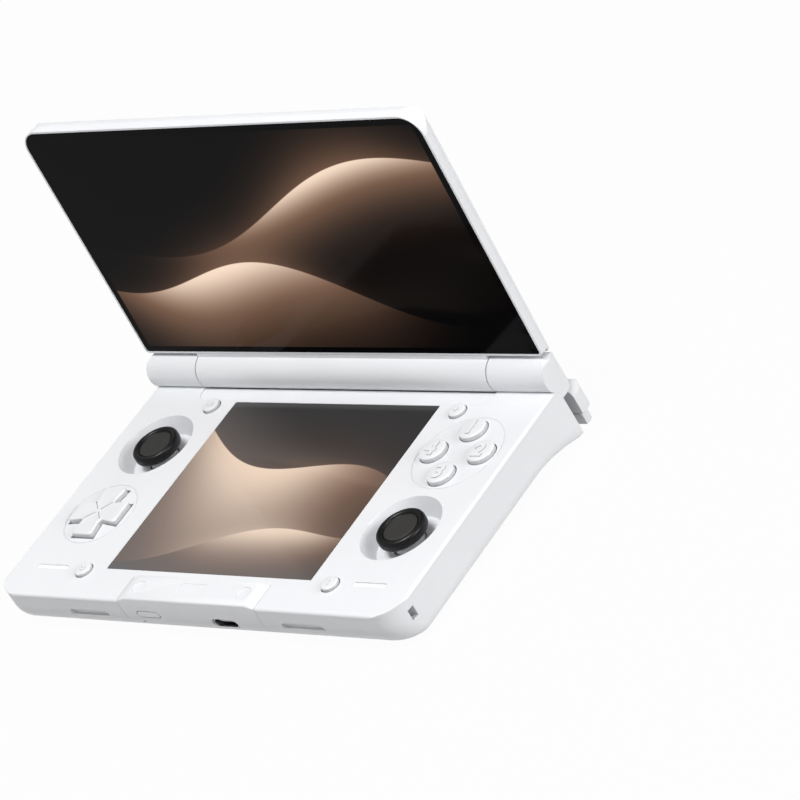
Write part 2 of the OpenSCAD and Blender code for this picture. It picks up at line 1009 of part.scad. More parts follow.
module dpad_membrane() {
    z = side_board_low + 1 + FIT;
    color([0.75, 0.75, 0.75])
        at_pad()
            difference() {
                union() {
                    post(0, 0, z, z + 0.3, 10);
                    for (a = [0:90:270])
                        rotate(a)
                            post(6.8, 0, z, -3.7, 2);
                }
                post(0, 0, z - 1, z + 3, 2.4);
            }
}

pad_pivot = -3.4;

module dpad() {
    color(WHITE)
        at_pad() {
            difference() {
                along_z(-2.2, button_h)
                    pad_outline(0);
                for (a = [45, 135])
                    translate([0, 0, button_h])
                        rotate(a)
                            cube([9, 0.3, 0.3], center = true);
            }
            post(0, 0, -2.6, -2.1, flange_r);
            post(0, 0, pad_pivot, -2.5, 0.9);
            translate([0, 0, pad_pivot])
                sphere(0.9);
        }
}

module face_button() {
    color(WHITE) {
        translate([0, 0, button_h - 0.4])
            cylinder(0.4, r1 = button_r, r2 = button_r - 0.4);
        post(0, 0, -2.3, button_h - 0.4 + TINY, button_r);
        post(0, 0, -2.4, -face_t - 0.25, button_r + 0.5);
    }
}

module face_button_right() { at_buttons() translate([button_pitch, 0, 0]) face_button(); }
module face_button_top() { at_buttons() translate([0, button_pitch, 0]) face_button(); }
module face_button_left() { at_buttons() translate([-button_pitch, 0, 0]) face_button(); }
module face_button_bottom() { at_buttons() translate([0, -button_pitch, 0]) face_button(); }

module small_button(x, y) {
    color(WHITE)
        translate([x, y, 0]) {
            translate([0, 0, small_h - 0.3])
                cylinder(0.3, r1 = small_r, r2 = small_r - 0.3);
            post(0, 0, -2.2, small_h - 0.3 + TINY, small_r);
            post(0, 0, -2.3, -face_t - 0.25, small_r + 0.5);
        }
}

module upper_left_button() { small_button(-small_x, small_upper_y); }
module upper_right_button() { small_button(small_x, small_upper_y); }
module lower_left_button() { small_button(-small_x, small_lower_y); }
module lower_right_button() { small_button(small_x, small_lower_y); }

module power_button() {
    color(WHITE) {
        along_y(-base_front, wall + 0.6 - base_front)
            pill(-power_x, power_z, power_w, power_h);
        along_y(wall + 0.25 - base_front, wall + 0.95 - base_front)
            pill(-power_x, power_z, power_w + 1, power_h + 0.8);
    }
}

module volume_rocker() {
    y1 = base_back + 0.5;
    color(WHITE) {
        along_y(base_back - wall - 0.6, y1)
            pill(0, volume_z, volume_w, volume_h);
        along_y(base_back - wall - 1.1, base_back - wall - 0.4)
            pill(0, volume_z, volume_w + 1.6, volume_h + 1);
    }
}

// ---- sticks -------------------------------------------------------------------

gimbal_pin_r = 0.6;
gimbal_in = dome_r + 0.3;
gimbal_out = gimbal_in + 0.8;
gimbal_h = 1.6;
module_in = gimbal_out + 0.3;
module_out = module_in + 0.8;
module_low = floor_z + FIT;

module square_tube(half_out, half_in, z0, z1) {
    difference() {
        box(-half_out, half_out, -half_out, half_out, z0, z1);
        box(-half_in, half_in, -half_in, half_in, z0 - 1, z1 + 1);
    }
}

module stick_module() {
    color(DARK)
        difference() {
            union() {
                square_tube(module_out, module_in, module_low, -well_d - well_floor - FIT);
                box(-module_out, module_out, -module_out, module_out, module_low, module_low + 0.8);
                post(0, 0, module_low, -10.5, 1.6);
            }
            translate([0, 0, -pivot_d])
                rod([-10, 0, 0], [10, 0, 0], gimbal_pin_r + running_gap);
        }
}

module stick_cradle() {
    color(STEEL)
        translate([0, 0, -pivot_d])
            difference() {
                union() {
                    square_tube(gimbal_out, gimbal_in, -gimbal_h / 2, gimbal_h / 2);
                    for (s = [-1, 1])
                        rod([s * (gimbal_in + 0.2), 0, 0], [s * (module_out - 0.1), 0, 0], gimbal_pin_r);
                }
                rod([0, -10, 0], [0, 10, 0], gimbal_pin_r + running_gap);
            }
}

module stick_dome() {
    color(WHITE)
        translate([0, 0, -pivot_d])
            difference() {
                union() {
                    difference() {
                        intersection() {
                            sphere(dome_r);
                            post(0, 0, -0.9, dome_r, dome_r + 1);
                        }
                        intersection() {
                            sphere(dome_r - 0.8);
                            post(0, 0, -2, dome_r, dome_r);
                        }
                    }
                    post(0, 0, -0.9, dome_r - 0.4, stem_r + 0.8);
                    for (s = [-1, 1])
                        rod([0, s * (stem_r + 0.5), 0], [0, s * (gimbal_out - 0.05), 0], gimbal_pin_r);
                }
                post(0, 0, -3, dome_r + 1, stem_r + running_gap);
            }
}

module stick_stem() {
    color(DARK)
        post(0, 0, -9.9, cap_top - 1.2, stem_r);
}

module stick_cap() {
    low = cap_top - cap_t;
    color(BLACK)
        difference() {
            rotate_extrude()
                polygon([
                    [0, low - 0.4], [3, low - 0.4], [5.4, low + 0.3], [cap_r, low + 1.3],
                    [cap_r, cap_top - 0.7], [cap_r - 0.3, cap_top - 0.2], [cap_r - 0.9, cap_top],
                    [cap_r - 1.5, cap_top - 0.15], [cap_r - 2.4, cap_top - 0.45],
                    [0, cap_top - 0.6]
                ]);
            post(0, 0, low - 1, cap_top - 1.2 + FIT, stem_r + FIT);
        }
}

module left_stick_module() { at_left_stick() stick_module(); }
module left_stick_cradle() { at_left_stick() stick_cradle(); }
module left_stick_dome() { at_left_stick() stick_dome(); }
module left_stick_stem() { at_left_stick() stick_stem(); }
module left_stick_cap() { at_left_stick() stick_cap(); }
module right_stick_module() { at_right_stick() stick_module(); }
module right_stick_cradle() { at_right_stick() stick_cradle(); }
module right_stick_dome() { at_right_stick() stick_dome(); }
module right_stick_stem() { at_right_stick() stick_stem(); }
module right_stick_cap() { at_right_stick() stick_cap(); }

// ---- shoulder keys ------------------------------------------------------------

shoulder_in = shoulder_x + shoulder_gap;
shoulder_end_r = 2.4;
shoulder_pin_x = shoulder_in + 2.6;
shoulder_pin_y = bumper_front + 2.6;
pin_top = -pocket_top + 1.4;

module shoulder_key(z0, z1, y1, x1, r, top_r) {
    color(WHITE)
        difference() {
            intersection() {
                along_z(z0, z1)
                    difference() {
                        area(shoulder_in, bumper_front, x1, y1);
                        corner_cut(x1, y1, -1, -1, shoulder_end_r);
                    }
                along_x(shoulder_in, x1)
                    difference() {
                        area(bumper_front, z0, y1, z1);
                        corner_cut(y1, z0, -1, 1, r);
                        corner_cut(y1, z1, -1, -1, r);
                    }
                along_y(bumper_front, y1)
                    difference() {
                        area(shoulder_in, z0, x1, z1);
                        corner_cut(x1, z1, -1, -1, top_r);
                    }
            }
            post(shoulder_pin_x, shoulder_pin_y, z0 - 1, z1 + 1, shoulder_pin_r + running_gap);
        }
}

module right_bumper() {
    shoulder_key(bumper_low, bumper_top, bumper_back, half_w - shoulder_inset, 1.6, 3);
}

module right_trigger() {
    difference() {
        shoulder_key(trigger_low, trigger_top, base_back - 0.4, half_w - shoulder_inset - 0.6, 1.2, 0.6);
        post(shoulder_pin_x, shoulder_pin_y, trigger_low - 1, pin_head_z + 0.2, pin_head_r + 0.2);
    }
}

module left_bumper() { mirror([1, 0, 0]) right_bumper(); }
module left_trigger() { mirror([1, 0, 0]) right_trigger(); }

pin_head_r = shoulder_pin_r + 0.6;
pin_head_z = trigger_low + 0.8;

module right_shoulder_pin() {
    color(STEEL) {
        post(shoulder_pin_x, shoulder_pin_y, pin_head_z - 0.3, pin_top, shoulder_pin_r);
        post(shoulder_pin_x, shoulder_pin_y, trigger_low + 0.1, pin_head_z, pin_head_r);
    }
}

module left_shoulder_pin() { mirror([1, 0, 0]) right_shoulder_pin(); }

// ---- hinge --------------------------------------------------------------------

module hinge_bush() {
    color("goldenrod")
        difference() {
            hinge_rod(knuckle_in + 0.05, knuckle_in + bush_len, bush_r);
            hinge_rod(knuckle_in - 1, knuckle_in + bush_len + 1, pin_r + running_gap);
        }
}

module right_hinge_bush() { hinge_bush(); }
module left_hinge_bush() { mirror([1, 0, 0]) hinge_bush(); }

module hinge_pin() {
    color(STEEL)
        hinge_rod(barrel_half - pin_grip, knuckle_in + bush_len - 0.2, pin_r);
}

module right_hinge_pin() { hinge_pin(); }

module left_hinge_pin() {
    color(STEEL)
        difference() {
            mirror([1, 0, 0])
                hinge_pin();
            hinge_rod(-half_w, 0, pin_r - 0.7);
        }
}

// ---- lid ----------------------------------------------------------------------

module lid_plan(inset, low) {
    x = half_w - inset;
    z1 = lid_high - inset;
    difference() {
        area(-x, low, x, z1);
        for (s = [-1, 1]) {
            corner_cut(s * x, z1, -s, -1, lid_corner_r - inset);
            corner_cut(s * x, low, -s, 1, 1.2);
        }
    }
}

// What the rounding of the lid's sides takes off its cross section.
module lid_side_cuts() {
    for (s = [-1, 1])
        corner_cut(s * half_w, back_y, -s, -1, lid_side_r);
}

module upper_glass_plan(grow) {
    x = glass_w / 2 + grow;
    z0 = lid_glass_s - grow;
    z1 = lid_glass_s + lid_glass_h + grow;
    difference() {
        area(-x, z0, x, z1);
        for (s = [-1, 1]) {
            corner_cut(s * x, z1, -s, -1, lid_corner_r - 1.2);
            corner_cut(s * x, z0, -s, 1, 0.8);
        }
    }
}

module upper_panel_plan(grow) {
    x = glass_w / 2 - panel_margin + grow;
    z0 = lid_glass_s + panel_margin - grow;
    z1 = lid_glass_s + lid_glass_h - panel_margin + grow;
    difference() {
        area(-x, z0, x, z1);
        for (s = [-1, 1])
            corner_cut(s * x, z1, -s, -1, lid_corner_r - 2);
    }
}

cable_out = -30;
cable_in = -34;
cable_y = 2;
cable_up = 7.4;
tongue_x = 40;
tongue_y = seam_y + 0.5;
tongue_t = 1.2;
tongue_z = lid_low + 6;

module lid_barrel() {
    color(WHITE)
        on_lid()
            difference() {
                union() {
                    rod([-barrel_half, 0, 0], [barrel_half, 0, 0], barrel_r);
                    box(-barrel_half, barrel_half, front_y, back_y, 1, lid_low - seam);
                    difference() {
                        box(-tongue_x, tongue_x, tongue_y, tongue_y + tongue_t, lid_low - 1, tongue_z);
                        box(cable_out - 1.5, cable_out + 1.5, 0, back_y, lid_low - seam, tongue_z + 1);
                    }
                }
                rod([pin_grip - barrel_half, 0, 0], [barrel_half - pin_grip, 0, 0], 3.9);
                rod([-half_w, 0, 0], [half_w, 0, 0], pin_r + FIT);
                rod([cable_in, 0, 0], [cable_out, cable_y, cable_up + 1], cable_r + 0.5);
            }
}

module lid_back_shell() {
    color(WHITE)
        on_lid()
            difference() {
                intersection() {
                    along_y(seam_y + FIT, back_y)
                        difference() {
                            lid_plan(0, lid_heel);
                            area(-knuckle_in, 0, knuckle_in, lid_low);
                        }
                    along_z(0, lid_high)
                        difference() {
                            area(-half_w, seam_y, half_w, back_y);
                            lid_side_cuts();
                        }
                    along_x(-half_w, half_w)
                        difference() {
                            area(seam_y, lid_heel, back_y, lid_high);
                            corner_cut(back_y, lid_high, -1, -1, lid_edge_r);
                        }
                }
                difference() {
                    along_y(seam_y - 1, back_y - lid_wall)
                        lid_plan(lid_side_r * 0.7, lid_low + lid_wall);
                    for (x = [-40, 0, 40])
                        translate([x, 0, 20])
                            rod([0, lid_board_y + 1 + FIT, 0], [0, back_y, 0], 1.5);
                }
                box(
                    -tongue_x - seam, tongue_x + seam,
                    tongue_y - seam, tongue_y + tongue_t + seam, 0, tongue_z
                );
                box(cable_out - 2, cable_out + 2, seam_y - 1, tongue_y + tongue_t, 0, tongue_z);
            }
}

module lid_frame() {
    color(WHITE)
        on_lid()
            difference() {
                along_y(front_y, seam_y)
                    lid_plan(0, lid_low);
                along_z(0, lid_high)
                    lid_side_cuts();
                along_y(front_y - 1, front_y + glass_t + FIT)
                    upper_glass_plan(glass_gap);
                along_y(front_y, seam_y + 1)
                    upper_panel_plan(0.15);
                box(cable_out - 2, cable_out + 2, 0, seam_y + 1, 0, tongue_z);
            }
}

module upper_glass() {
    color(BLACK)
        on_lid()
            along_y(front_y, front_y + glass_t)
                upper_glass_plan(0);
}

module upper_display() {
    y0 = front_y + glass_t + 2 * FIT;
    color(DARK)
        on_lid()
            along_y(y0, y0 + up_panel_t)
                upper_panel_plan(0);
}

lid_board_y = seam_y + 0.3;
lid_board_z = 15;

module lid_board() {
    color(BOARD)
        on_lid()
            along_y(lid_board_y, lid_board_y + 1)
                area(-45, lid_board_z, 45, lid_board_z + 12);
}

// Bundle of wires from the lid board to the hollow left pin, turning with the lid.
module display_cable() {
    color(DARK)
        on_lid() {
            rod([cable_out, lid_board_y + 0.4, lid_board_z - 0.2], [cable_out, cable_y, cable_up], cable_r);
            rod([cable_out, cable_y, cable_up], [cable_in, 0, 0], cable_r);
            rod([cable_in, 0, 0], [cable_x + 1.2, 0, 0], cable_r);
            translate([cable_out, cable_y, cable_up])
                sphere(cable_r * 1.15);
            translate([cable_in, 0, 0])
                sphere(cable_r * 1.15);
        }
}

// The rest of the wires, from the left knuckle down into the base.
module base_cable() {
    color(DARK) {
        hinge_rod(cable_x - 0.5, cable_x + 1, cable_r);
        for (i = [0:1]) {
            rod(cable_path[i], cable_path[i + 1], cable_r);
            translate(cable_path[i])
                sphere(cable_r * 1.15);
        }
    }
}

// ---- drawing ------------------------------------------------------------------

on_table() base_top_shell();
on_table() base_bottom_shell();
on_table() front_insert();
on_table() case_screws();
on_table() lower_glass();
on_table() lower_display();
on_table() mid_frame();
on_table() main_board();
on_table() heat_spreader();
on_table() battery();
on_table() left_board();
on_table() right_board();
on_table() left_speaker();
on_table() right_speaker();
on_table() usb_port();
on_table() headphone_jack();
on_table() card_slot();
on_table() tact_switches();
on_table() face_membrane();
on_table() dpad_membrane();
on_table() dpad();
on_table() face_button_top();
on_table() face_button_right();
on_table() face_button_bottom();
on_table() face_button_left();
on_table() upper_left_button();
on_table() upper_right_button();
on_table() lower_left_button();
on_table() lower_right_button();
on_table() power_button();
on_table() volume_rocker();
on_table() left_stick_module();
on_table() left_stick_cradle();
on_table() left_stick_dome();
on_table() left_stick_stem();
on_table() left_stick_cap();
on_table() right_stick_module();
on_table() right_stick_cradle();
on_table() right_stick_dome();
on_table() right_stick_stem();
on_table() right_stick_cap();
on_table() left_bumper();
on_table() right_bumper();
on_table() left_trigger();
on_table() right_trigger();
on_table() left_shoulder_pin();
on_table() right_shoulder_pin();
on_table() left_hinge_bush();
on_table() right_hinge_bush();
on_table() left_hinge_pin();
on_table() right_hinge_pin();
on_table() lid_barrel();
on_table() lid_back_shell();
on_table() lid_frame();
on_table() upper_glass();
on_table() upper_display();
on_table() lid_board();
on_table() display_cable();
on_table() base_cable();
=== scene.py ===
"""Dressed model of a white folding handheld console with two screens.

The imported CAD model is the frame. This script gives every surface its
material, puts detailed pieces over the plain solids where the console's
forms are soft or finely made, and sets the floor, the light and the camera.
"""

import enum
import json
import logging
import math
from dataclasses import dataclass

import bmesh
import bpy
from mathutils import Matrix, Vector


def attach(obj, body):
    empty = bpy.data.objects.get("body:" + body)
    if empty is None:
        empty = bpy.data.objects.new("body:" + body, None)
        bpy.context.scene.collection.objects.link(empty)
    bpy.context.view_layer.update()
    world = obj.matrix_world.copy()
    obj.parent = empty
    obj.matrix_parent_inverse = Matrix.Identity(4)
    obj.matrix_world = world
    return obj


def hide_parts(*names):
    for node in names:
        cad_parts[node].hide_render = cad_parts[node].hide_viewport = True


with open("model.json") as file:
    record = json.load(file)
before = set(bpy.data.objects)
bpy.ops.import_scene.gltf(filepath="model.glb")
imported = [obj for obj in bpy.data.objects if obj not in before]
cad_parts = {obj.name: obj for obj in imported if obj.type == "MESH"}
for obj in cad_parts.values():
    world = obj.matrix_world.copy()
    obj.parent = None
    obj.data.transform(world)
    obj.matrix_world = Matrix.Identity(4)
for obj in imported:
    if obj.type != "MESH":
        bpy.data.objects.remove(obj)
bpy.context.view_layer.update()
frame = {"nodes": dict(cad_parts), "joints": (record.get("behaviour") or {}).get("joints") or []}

log = logging.getLogger("console")
MM = 0.001
DECAY_BASE = 2.718


class Slot(enum.Enum):
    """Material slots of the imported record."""

    SHELL = "white_shell"
    KEYS = "white_keys"
    GLASS = "black_glass"
    RUBBER = "black_rubber"
    STEEL = "steel"
    DARK = "dark_plastic"


# ---- frames of reference ---------------------------------------------------


@dataclass(frozen=True)
class Placement:
    """A right-handed frame that pieces are drawn in, in millimetres.

    Attributes:
        matrix: Takes a point in millimetres to metres in the world.
    """

    matrix: Matrix

    def point(self, x: float, y: float, z: float) -> Vector:
        """Gives the world place of a point of this frame."""
        return self.matrix @ Vector((x, y, z))

    def axis(self, x: float, y: float, z: float) -> Vector:
        """Gives the world direction, of unit length, of a direction here."""
        return (self.matrix.to_3x3() @ Vector((x, y, z))).normalized()

    def moved(self, x: float, y: float, z: float = 0.0) -> "Placement":
        """Gives the same frame with its origin moved."""
        return Placement(self.matrix @ Matrix.Translation((x, y, z)))

    def turned(self, degrees: float, about: str) -> "Placement":
        """Gives the same frame turned about one of its own axes."""
        return Placement(self.matrix @ Matrix.Rotation(math.radians(degrees), 4, about))


def joint(name: str) -> dict:
    """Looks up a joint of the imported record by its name."""
    return next(j for j in frame["joints"] if j["name"] == name)


@dataclass(frozen=True)
class DeviceSizes:
    """Sizes of the console in its own frame, in millimetres.

    The origin is the middle of the lower screen on the top face, with X to
    the right, Y to the hinge and Z up.
    """

    half_w: float = 75.0
    front: float = 45.0
    back: float = 49.2
    base_t: float = 13.4
    hinge_y: float = 43.6
    hinge_z: float = 3.3
    lean: float = 2.7
    column_x: float = 57.3
    right_stick_x: float = 56.3
    upper_y: float = 15.4
    lower_y: float = -12.9


SIZES = DeviceSizes()


def device_frame() -> Placement:
    """Finds the console's own frame from its hinge and a key's travel."""
    travel = Vector(joint("power_press")["axis"])
    tilt = math.atan2(travel.z, travel.y)
    spin = Matrix.Rotation(tilt, 4, "X")
    hinge = Vector(joint("lid_hinge")["pos_m"])
    local = Vector((0.0, SIZES.hinge_y, SIZES.hinge_z)) * MM
    return Placement(Matrix.Translation(hinge - spin @ local) @ spin @ Matrix.Scale(MM, 4))


DEVICE = device_frame()
LID = DEVICE.moved(0.0, SIZES.hinge_y, SIZES.hinge_z).turned(-SIZES.lean, "X")


# ---- shaders -----------------------------------------------------------------


class Sock:
    """A value on its way through a node tree, with ordinary arithmetic."""

    def __init__(self, graph: "Graph", socket: bpy.types.NodeSocket) -> None:
        self.graph = graph
        self.socket = socket

    def _math(self, operation: str, *values: "Sock | float", clamp: bool = False) -> "Sock":
        settings = {"operation": operation, "use_clamp": clamp}
        return self.graph.node("ShaderNodeMath", settings, dict(enumerate(values)))

    def __add__(self, other: "Sock | float") -> "Sock":
        return self._math("ADD", self, other)

    __radd__ = __add__

    def __sub__(self, other: "Sock | float") -> "Sock":
        return self._math("SUBTRACT", self, other)

    def __rsub__(self, other: "Sock | float") -> "Sock":
        return self._math("SUBTRACT", other, self)

    def __mul__(self, other: "Sock | float") -> "Sock":
        return self._math("MULTIPLY", self, other)

    __rmul__ = __mul__

    def __truediv__(self, other: "Sock | float") -> "Sock":
        return self._math("DIVIDE", self, other)

    def __rpow__(self, other: float) -> "Sock":
        return self._math("POWER", other, self)

    def __neg__(self) -> "Sock":
        return self._math("MULTIPLY", self, -1.0)

    def __abs__(self) -> "Sock":
        return self._math("ABSOLUTE", self)

    def least(self, other: "Sock | float") -> "Sock":
        """Gives the lesser of two values."""
        return self._math("MINIMUM", self, other)

    def most(self, other: "Sock | float") -> "Sock":
        """Gives the greater of two values."""
        return self._math("MAXIMUM", self, other)

    def sine(self) -> "Sock":
        """Gives the sine of an angle in radians."""
        return self._math("SINE", self)

    def step(self, low: float, high: float, a: float = 0.0, b: float = 1.0) -> "Sock":
        """Eases from a to b as the value goes from low to high."""
        settings = {"interpolation_type": "SMOOTHSTEP"}
        return self.graph.node("ShaderNodeMapRange", settings, {0: self, 1: low, 2: high, 3: a, 4: b})

    def dot(self, direction: Vector) -> "Sock":
        """Gives the part of a vector that lies along a direction."""
        links = {0: self, 1: tuple(direction)}
        return self.graph.node("ShaderNodeVectorMath", {"operation": "DOT_PRODUCT"}, links, "Value")

    def less(self, offset: Vector) -> "Sock":
        """Takes a constant vector off a vector."""
        links = {0: self, 1: tuple(offset)}
        return self.graph.node("ShaderNodeVectorMath", {"operation": "SUBTRACT"}, links)


class Graph:
    """The node tree of one material, made from scratch."""

    def __init__(self, name: str) -> None:
        self.material = bpy.data.materials.new(name)
        self.material.use_nodes = True
        self.tree = self.material.node_tree
        self.tree.nodes.clear()

    def node(
        self,
        kind: str,
        settings: dict | None = None,
        links: dict | None = None,
        out: int | str = 0,
    ) -> Sock:
        """Adds a node.

        Args:
            kind: The node's type.
            settings: Attributes to set on it.
            links: Input names or numbers, each with a value or a Sock.
            out: The output wanted.

        Returns:
            That output.
        """
        made = self.tree.nodes.new(kind)
        for key, value in (settings or {}).items():
            setattr(made, key, value)
        for key, value in (links or {}).items():
            if isinstance(value, Sock):
                self.tree.links.new(value.socket, made.inputs[key])
            else:
                made.inputs[key].default_value = value
        return Sock(self, made.outputs[out])

    def place(self) -> Sock:
        """Gives the point being shaded, in the object's own metres."""
        return self.node("ShaderNodeTexCoord", out="Object")

    def along(self, origin: Vector, direction: Vector) -> Sock:
        """Gives a coordinate in millimetres along a direction from an origin."""
        return self.place().less(origin).dot(direction) * 1000.0

    def noise(self, scale: float, detail: float = 2.0, roughness: float = 0.5) -> Sock:
        """Gives soft noise about 0.5, with scale in cells per metre."""
        links = {"Vector": self.place(), "Scale": scale, "Detail": detail, "Roughness": roughness}
        return self.node("ShaderNodeTexNoise", None, links, "Fac")

    def blend(self, factor: Sock | float, a: "tuple | Sock", b: "tuple | Sock") -> Sock:
        """Mixes two colours."""
        made = self.tree.nodes.new("ShaderNodeMix")
        made.data_type = "RGBA"
        for index, value in ((0, factor), (6, a), (7, b)):
            if isinstance(value, Sock):
                self.tree.links.new(value.socket, made.inputs[index])
            else:
                made.inputs[index].default_value = value
        return Sock(self, made.outputs[2])

    def rounded(self, radius: float) -> Sock:
        """Gives the normal with sharp edges eased over a radius in millimetres."""
        return self.node("ShaderNodeBevel", {"samples": 6}, {"Radius": radius * MM})

    def bump(self, height: Sock, strength: float, depth: float, normal: Sock | None = None) -> Sock:
        """Turns a height into a normal, depth being its full scale in millimetres."""
        links = {"Height": height, "Strength": strength, "Distance": depth * MM}
        if normal is not None:
            links["Normal"] = normal
        return self.node("ShaderNodeBump", None, links)

    def finish(self, shader: dict) -> bpy.types.Material:
        """Ends the tree with one surface shader.

        Args:
            shader: Input names of the shader, each with a value or a Sock.

        Returns:
            The finished material.
        """
        surface = self.node("ShaderNodeBsdfPrincipled", None, shader, "BSDF")
        self.node_out(surface)
        return self.material

    def node_out(self, surface: Sock) -> None:
        """Links a surface to the material's output."""
        made = self.tree.nodes.new("ShaderNodeOutputMaterial")
        self.tree.links.new(surface.socket, made.inputs["Surface"])


def rgb(red: float, green: float, blue: float) -> tuple[float, float, float, float]:
    """Gives an opaque colour."""
    return (red, green, blue, 1.0)


@dataclass(frozen=True)
class Moulded:
    """Finish of a moulded plastic or rubber surface.

    Attributes:
        name: Name of the material.
        colour: Its main colour.
        shade: The colour that faint mottling leads to.
        roughness: Roughness of the surface.
        spread: How far the roughness wanders.
        grain: Cells of fine texture per metre.
        depth: Depth of the texture in millimetres.
        edge: Radius that sharp edges are eased over, in millimetres.
        specular: Strength of the surface reflection.
        coat: Weight of a clear coat.
        subsurface: Share of light that scatters under the surface.
        side: Brightness of the faces that don't look up, as a share: painted shade that darkens the sides
            against the tops.
    """

    name: str
    colour: tuple[float, float, float]
    shade: tuple[float, float, float]
    roughness: float = 0.4
    spread: float = 0.06
    grain: float = 9000.0
    depth: float = 0.004
    edge: float = 0.3
    specular: float = 0.5
    coat: float = 0.0
    subsurface: float = 0.0
    side: float = 1.0

    def build(self) -> bpy.types.Material:
        """Makes the material."""
        g = Graph(self.name)
        cloud = g.noise(45.0, 3.0)
        fine = g.noise(self.grain, 2.0, 0.6)
        mottle = (cloud * 0.7 + fine * 0.3).step(0.3, 0.75)
        colour = g.blend(mottle, rgb(*self.colour), rgb(*self.shade))
        # painted shade: faces that don't look up are darkened towards black, as if the light fell only from
        # above
        if self.side < 1.0:
            painted_shade_facing = g.node("ShaderNodeNewGeometry", out="Normal").dot(DEVICE.axis(0.0, 0.0, 1.0))
            colour = g.blend(painted_shade_facing.step(0.1, 0.8, self.side), rgb(0.0, 0.0, 0.0), colour)
        rough = self.roughness + (g.noise(160.0, 4.0) - 0.5) * (2.0 * self.spread)
        normal = g.bump(fine, 0.35, self.depth, g.rounded(self.edge))
        return g.finish({
            "Base Color": colour, "Roughness": rough, "Normal": normal,
            "Specular IOR Level": self.specular, "Coat Weight": self.coat, "Coat Roughness": 0.15,
            "Subsurface Weight": self.subsurface, "Subsurface Radius": (0.002, 0.002, 0.002),
        })


@dataclass(frozen=True)
class Metal:
    """Finish of a plated, turned or stamped metal part."""

    name: str
    colour: tuple[float, float, float]
    roughness: float = 0.3
    grain: float = 3000.0

    def build(self) -> bpy.types.Material:
        """Makes the material."""
        g = Graph(self.name)
        dull = g.noise(300.0, 4.0).step(0.35, 0.7)
        darker = tuple(0.8 * c for c in self.colour)
        colour = g.blend(dull, rgb(*self.colour), rgb(*darker))
        rough = self.roughness + (g.noise(self.grain, 3.0) - 0.5) * 0.2
        normal = g.bump(g.noise(self.grain, 3.0), 0.3, 0.01, g.rounded(0.12))
        return g.finish({"Base Color": colour, "Metallic": 1.0, "Roughness": rough, "Normal": normal})


@dataclass(frozen=True)
class Dune:
    """A soft dune of light in a screen's picture, in millimetres.

    Attributes:
        level: Height of its crest up the screen.
        swell: How far the crest rises and falls.
        length: Length of one swell across the screen.
        shift: How far the swell is moved across.
        slope: Rise of the crest across the screen.
        depth: Distance over which the light dies away below the crest.
        veil: Distance over which it dies away above the crest.
        dim: Brightness just above the crest.
        lit: Place across the screen where the crest is brightest.
        reach: Half the width that is lit.
    """

    level: float
    swell: float
    length: float
    shift: float
    slope: float
    depth: float
    veil: float
    dim: float
    lit: float
    reach: float


@dataclass(frozen=True)
class Picture:
    """Picture on a screen: dunes of warm light on black, under a grey veil of painted reflection where one
    is set.

    Attributes:
        name: Name of the material.
        half_w: Half the picture's width in millimetres.
        low: Where the picture starts up the screen.
        high: Where it ends.
        dunes: The dunes, from the back to the front.
        painted_reflection_near: Painted reflection: grey veil over the picture's near left part.
        painted_reflection_far: Painted reflection: grey veil over its far right part.
        sheen: Strength of the glass's own reflection.
    """

    name: str
    half_w: float
    low: float
    high: float
    dunes: tuple[Dune, ...]
    painted_reflection_near: float = 0.0
    painted_reflection_far: float = 0.0
    sheen: float = 0.03

    def build(self, place: Placement, up: Vector) -> bpy.types.Material:
        """Makes the material.

        Args:
            place: Frame whose X runs across the screen.
            up: World direction that runs up the screen.

        Returns:
            The material for the glass.
        """
        g = Graph(self.name)
        origin = place.point(0.0, 0.0, 0.0)
        x = g.along(origin, place.axis(1.0, 0.0, 0.0))
        y = g.along(origin, up)
        light: Sock | float = 0.0
        for dune in self.dunes:
            wave = ((x - dune.shift) * (2.0 * math.pi / dune.length)).sine() * dune.swell
            below = wave + x * dune.slope + dune.level - y
            inside = below.step(-0.25, 0.25)
            core = inside * (DECAY_BASE ** (-below.most(0.0) / dune.depth))
            halo = (1.0 - inside) * (DECAY_BASE ** (below.least(0.0) / dune.veil)) * dune.dim
            aside = (x - dune.lit) / dune.reach
            fade = DECAY_BASE ** (-(aside * aside))
            light = (core + halo) * fade + (1.0 - inside * 0.9) * light
        glow = light.least(1.0)
        brown = g.blend(glow.step(0.0, 0.5), rgb(0.0005, 0.0005, 0.0005), rgb(0.22, 0.12, 0.075))
        cream = g.blend(glow.step(0.32, 1.0), brown, rgb(0.95, 0.74, 0.58))
        # painted reflection: a grey veil, strongest at the near left, laid over the picture where it is dark
        veil = (x * 0.7 + y).step(-26.0, 24.0, self.painted_reflection_near, self.painted_reflection_far)
        with_painted_reflection = g.blend(veil * (1.0 - 0.8 * glow), cream, rgb(0.17, 0.165, 0.165))
        edge = (abs(x) - self.half_w).most(self.low - y).most(y - self.high)
        shown = edge.step(-0.06, 0.06, 1.0, 0.0)
        colour = g.blend(shown, rgb(0.0, 0.0, 0.0), with_painted_reflection)
        smear = g.noise(60.0, 3.0)
        return g.finish({
            "Base Color": rgb(0.002, 0.002, 0.0025),
            "Emission Color": colour,
            "Emission Strength": 1.0,
            "Roughness": 0.06 + smear * 0.06,
            "Specular IOR Level": self.sheen,
            "Normal": g.rounded(0.2),
        })


# ---- meshes --------------------------------------------------------------------


def face_outwards(bm: bmesh.types.BMesh) -> None:
    """Turns all faces of a closed mesh outwards."""
    bmesh.ops.recalc_face_normals(bm, faces=bm.faces[:])
    if bm.calc_volume(signed=True) < 0.0:
        bmesh.ops.reverse_faces(bm, faces=bm.faces[:])


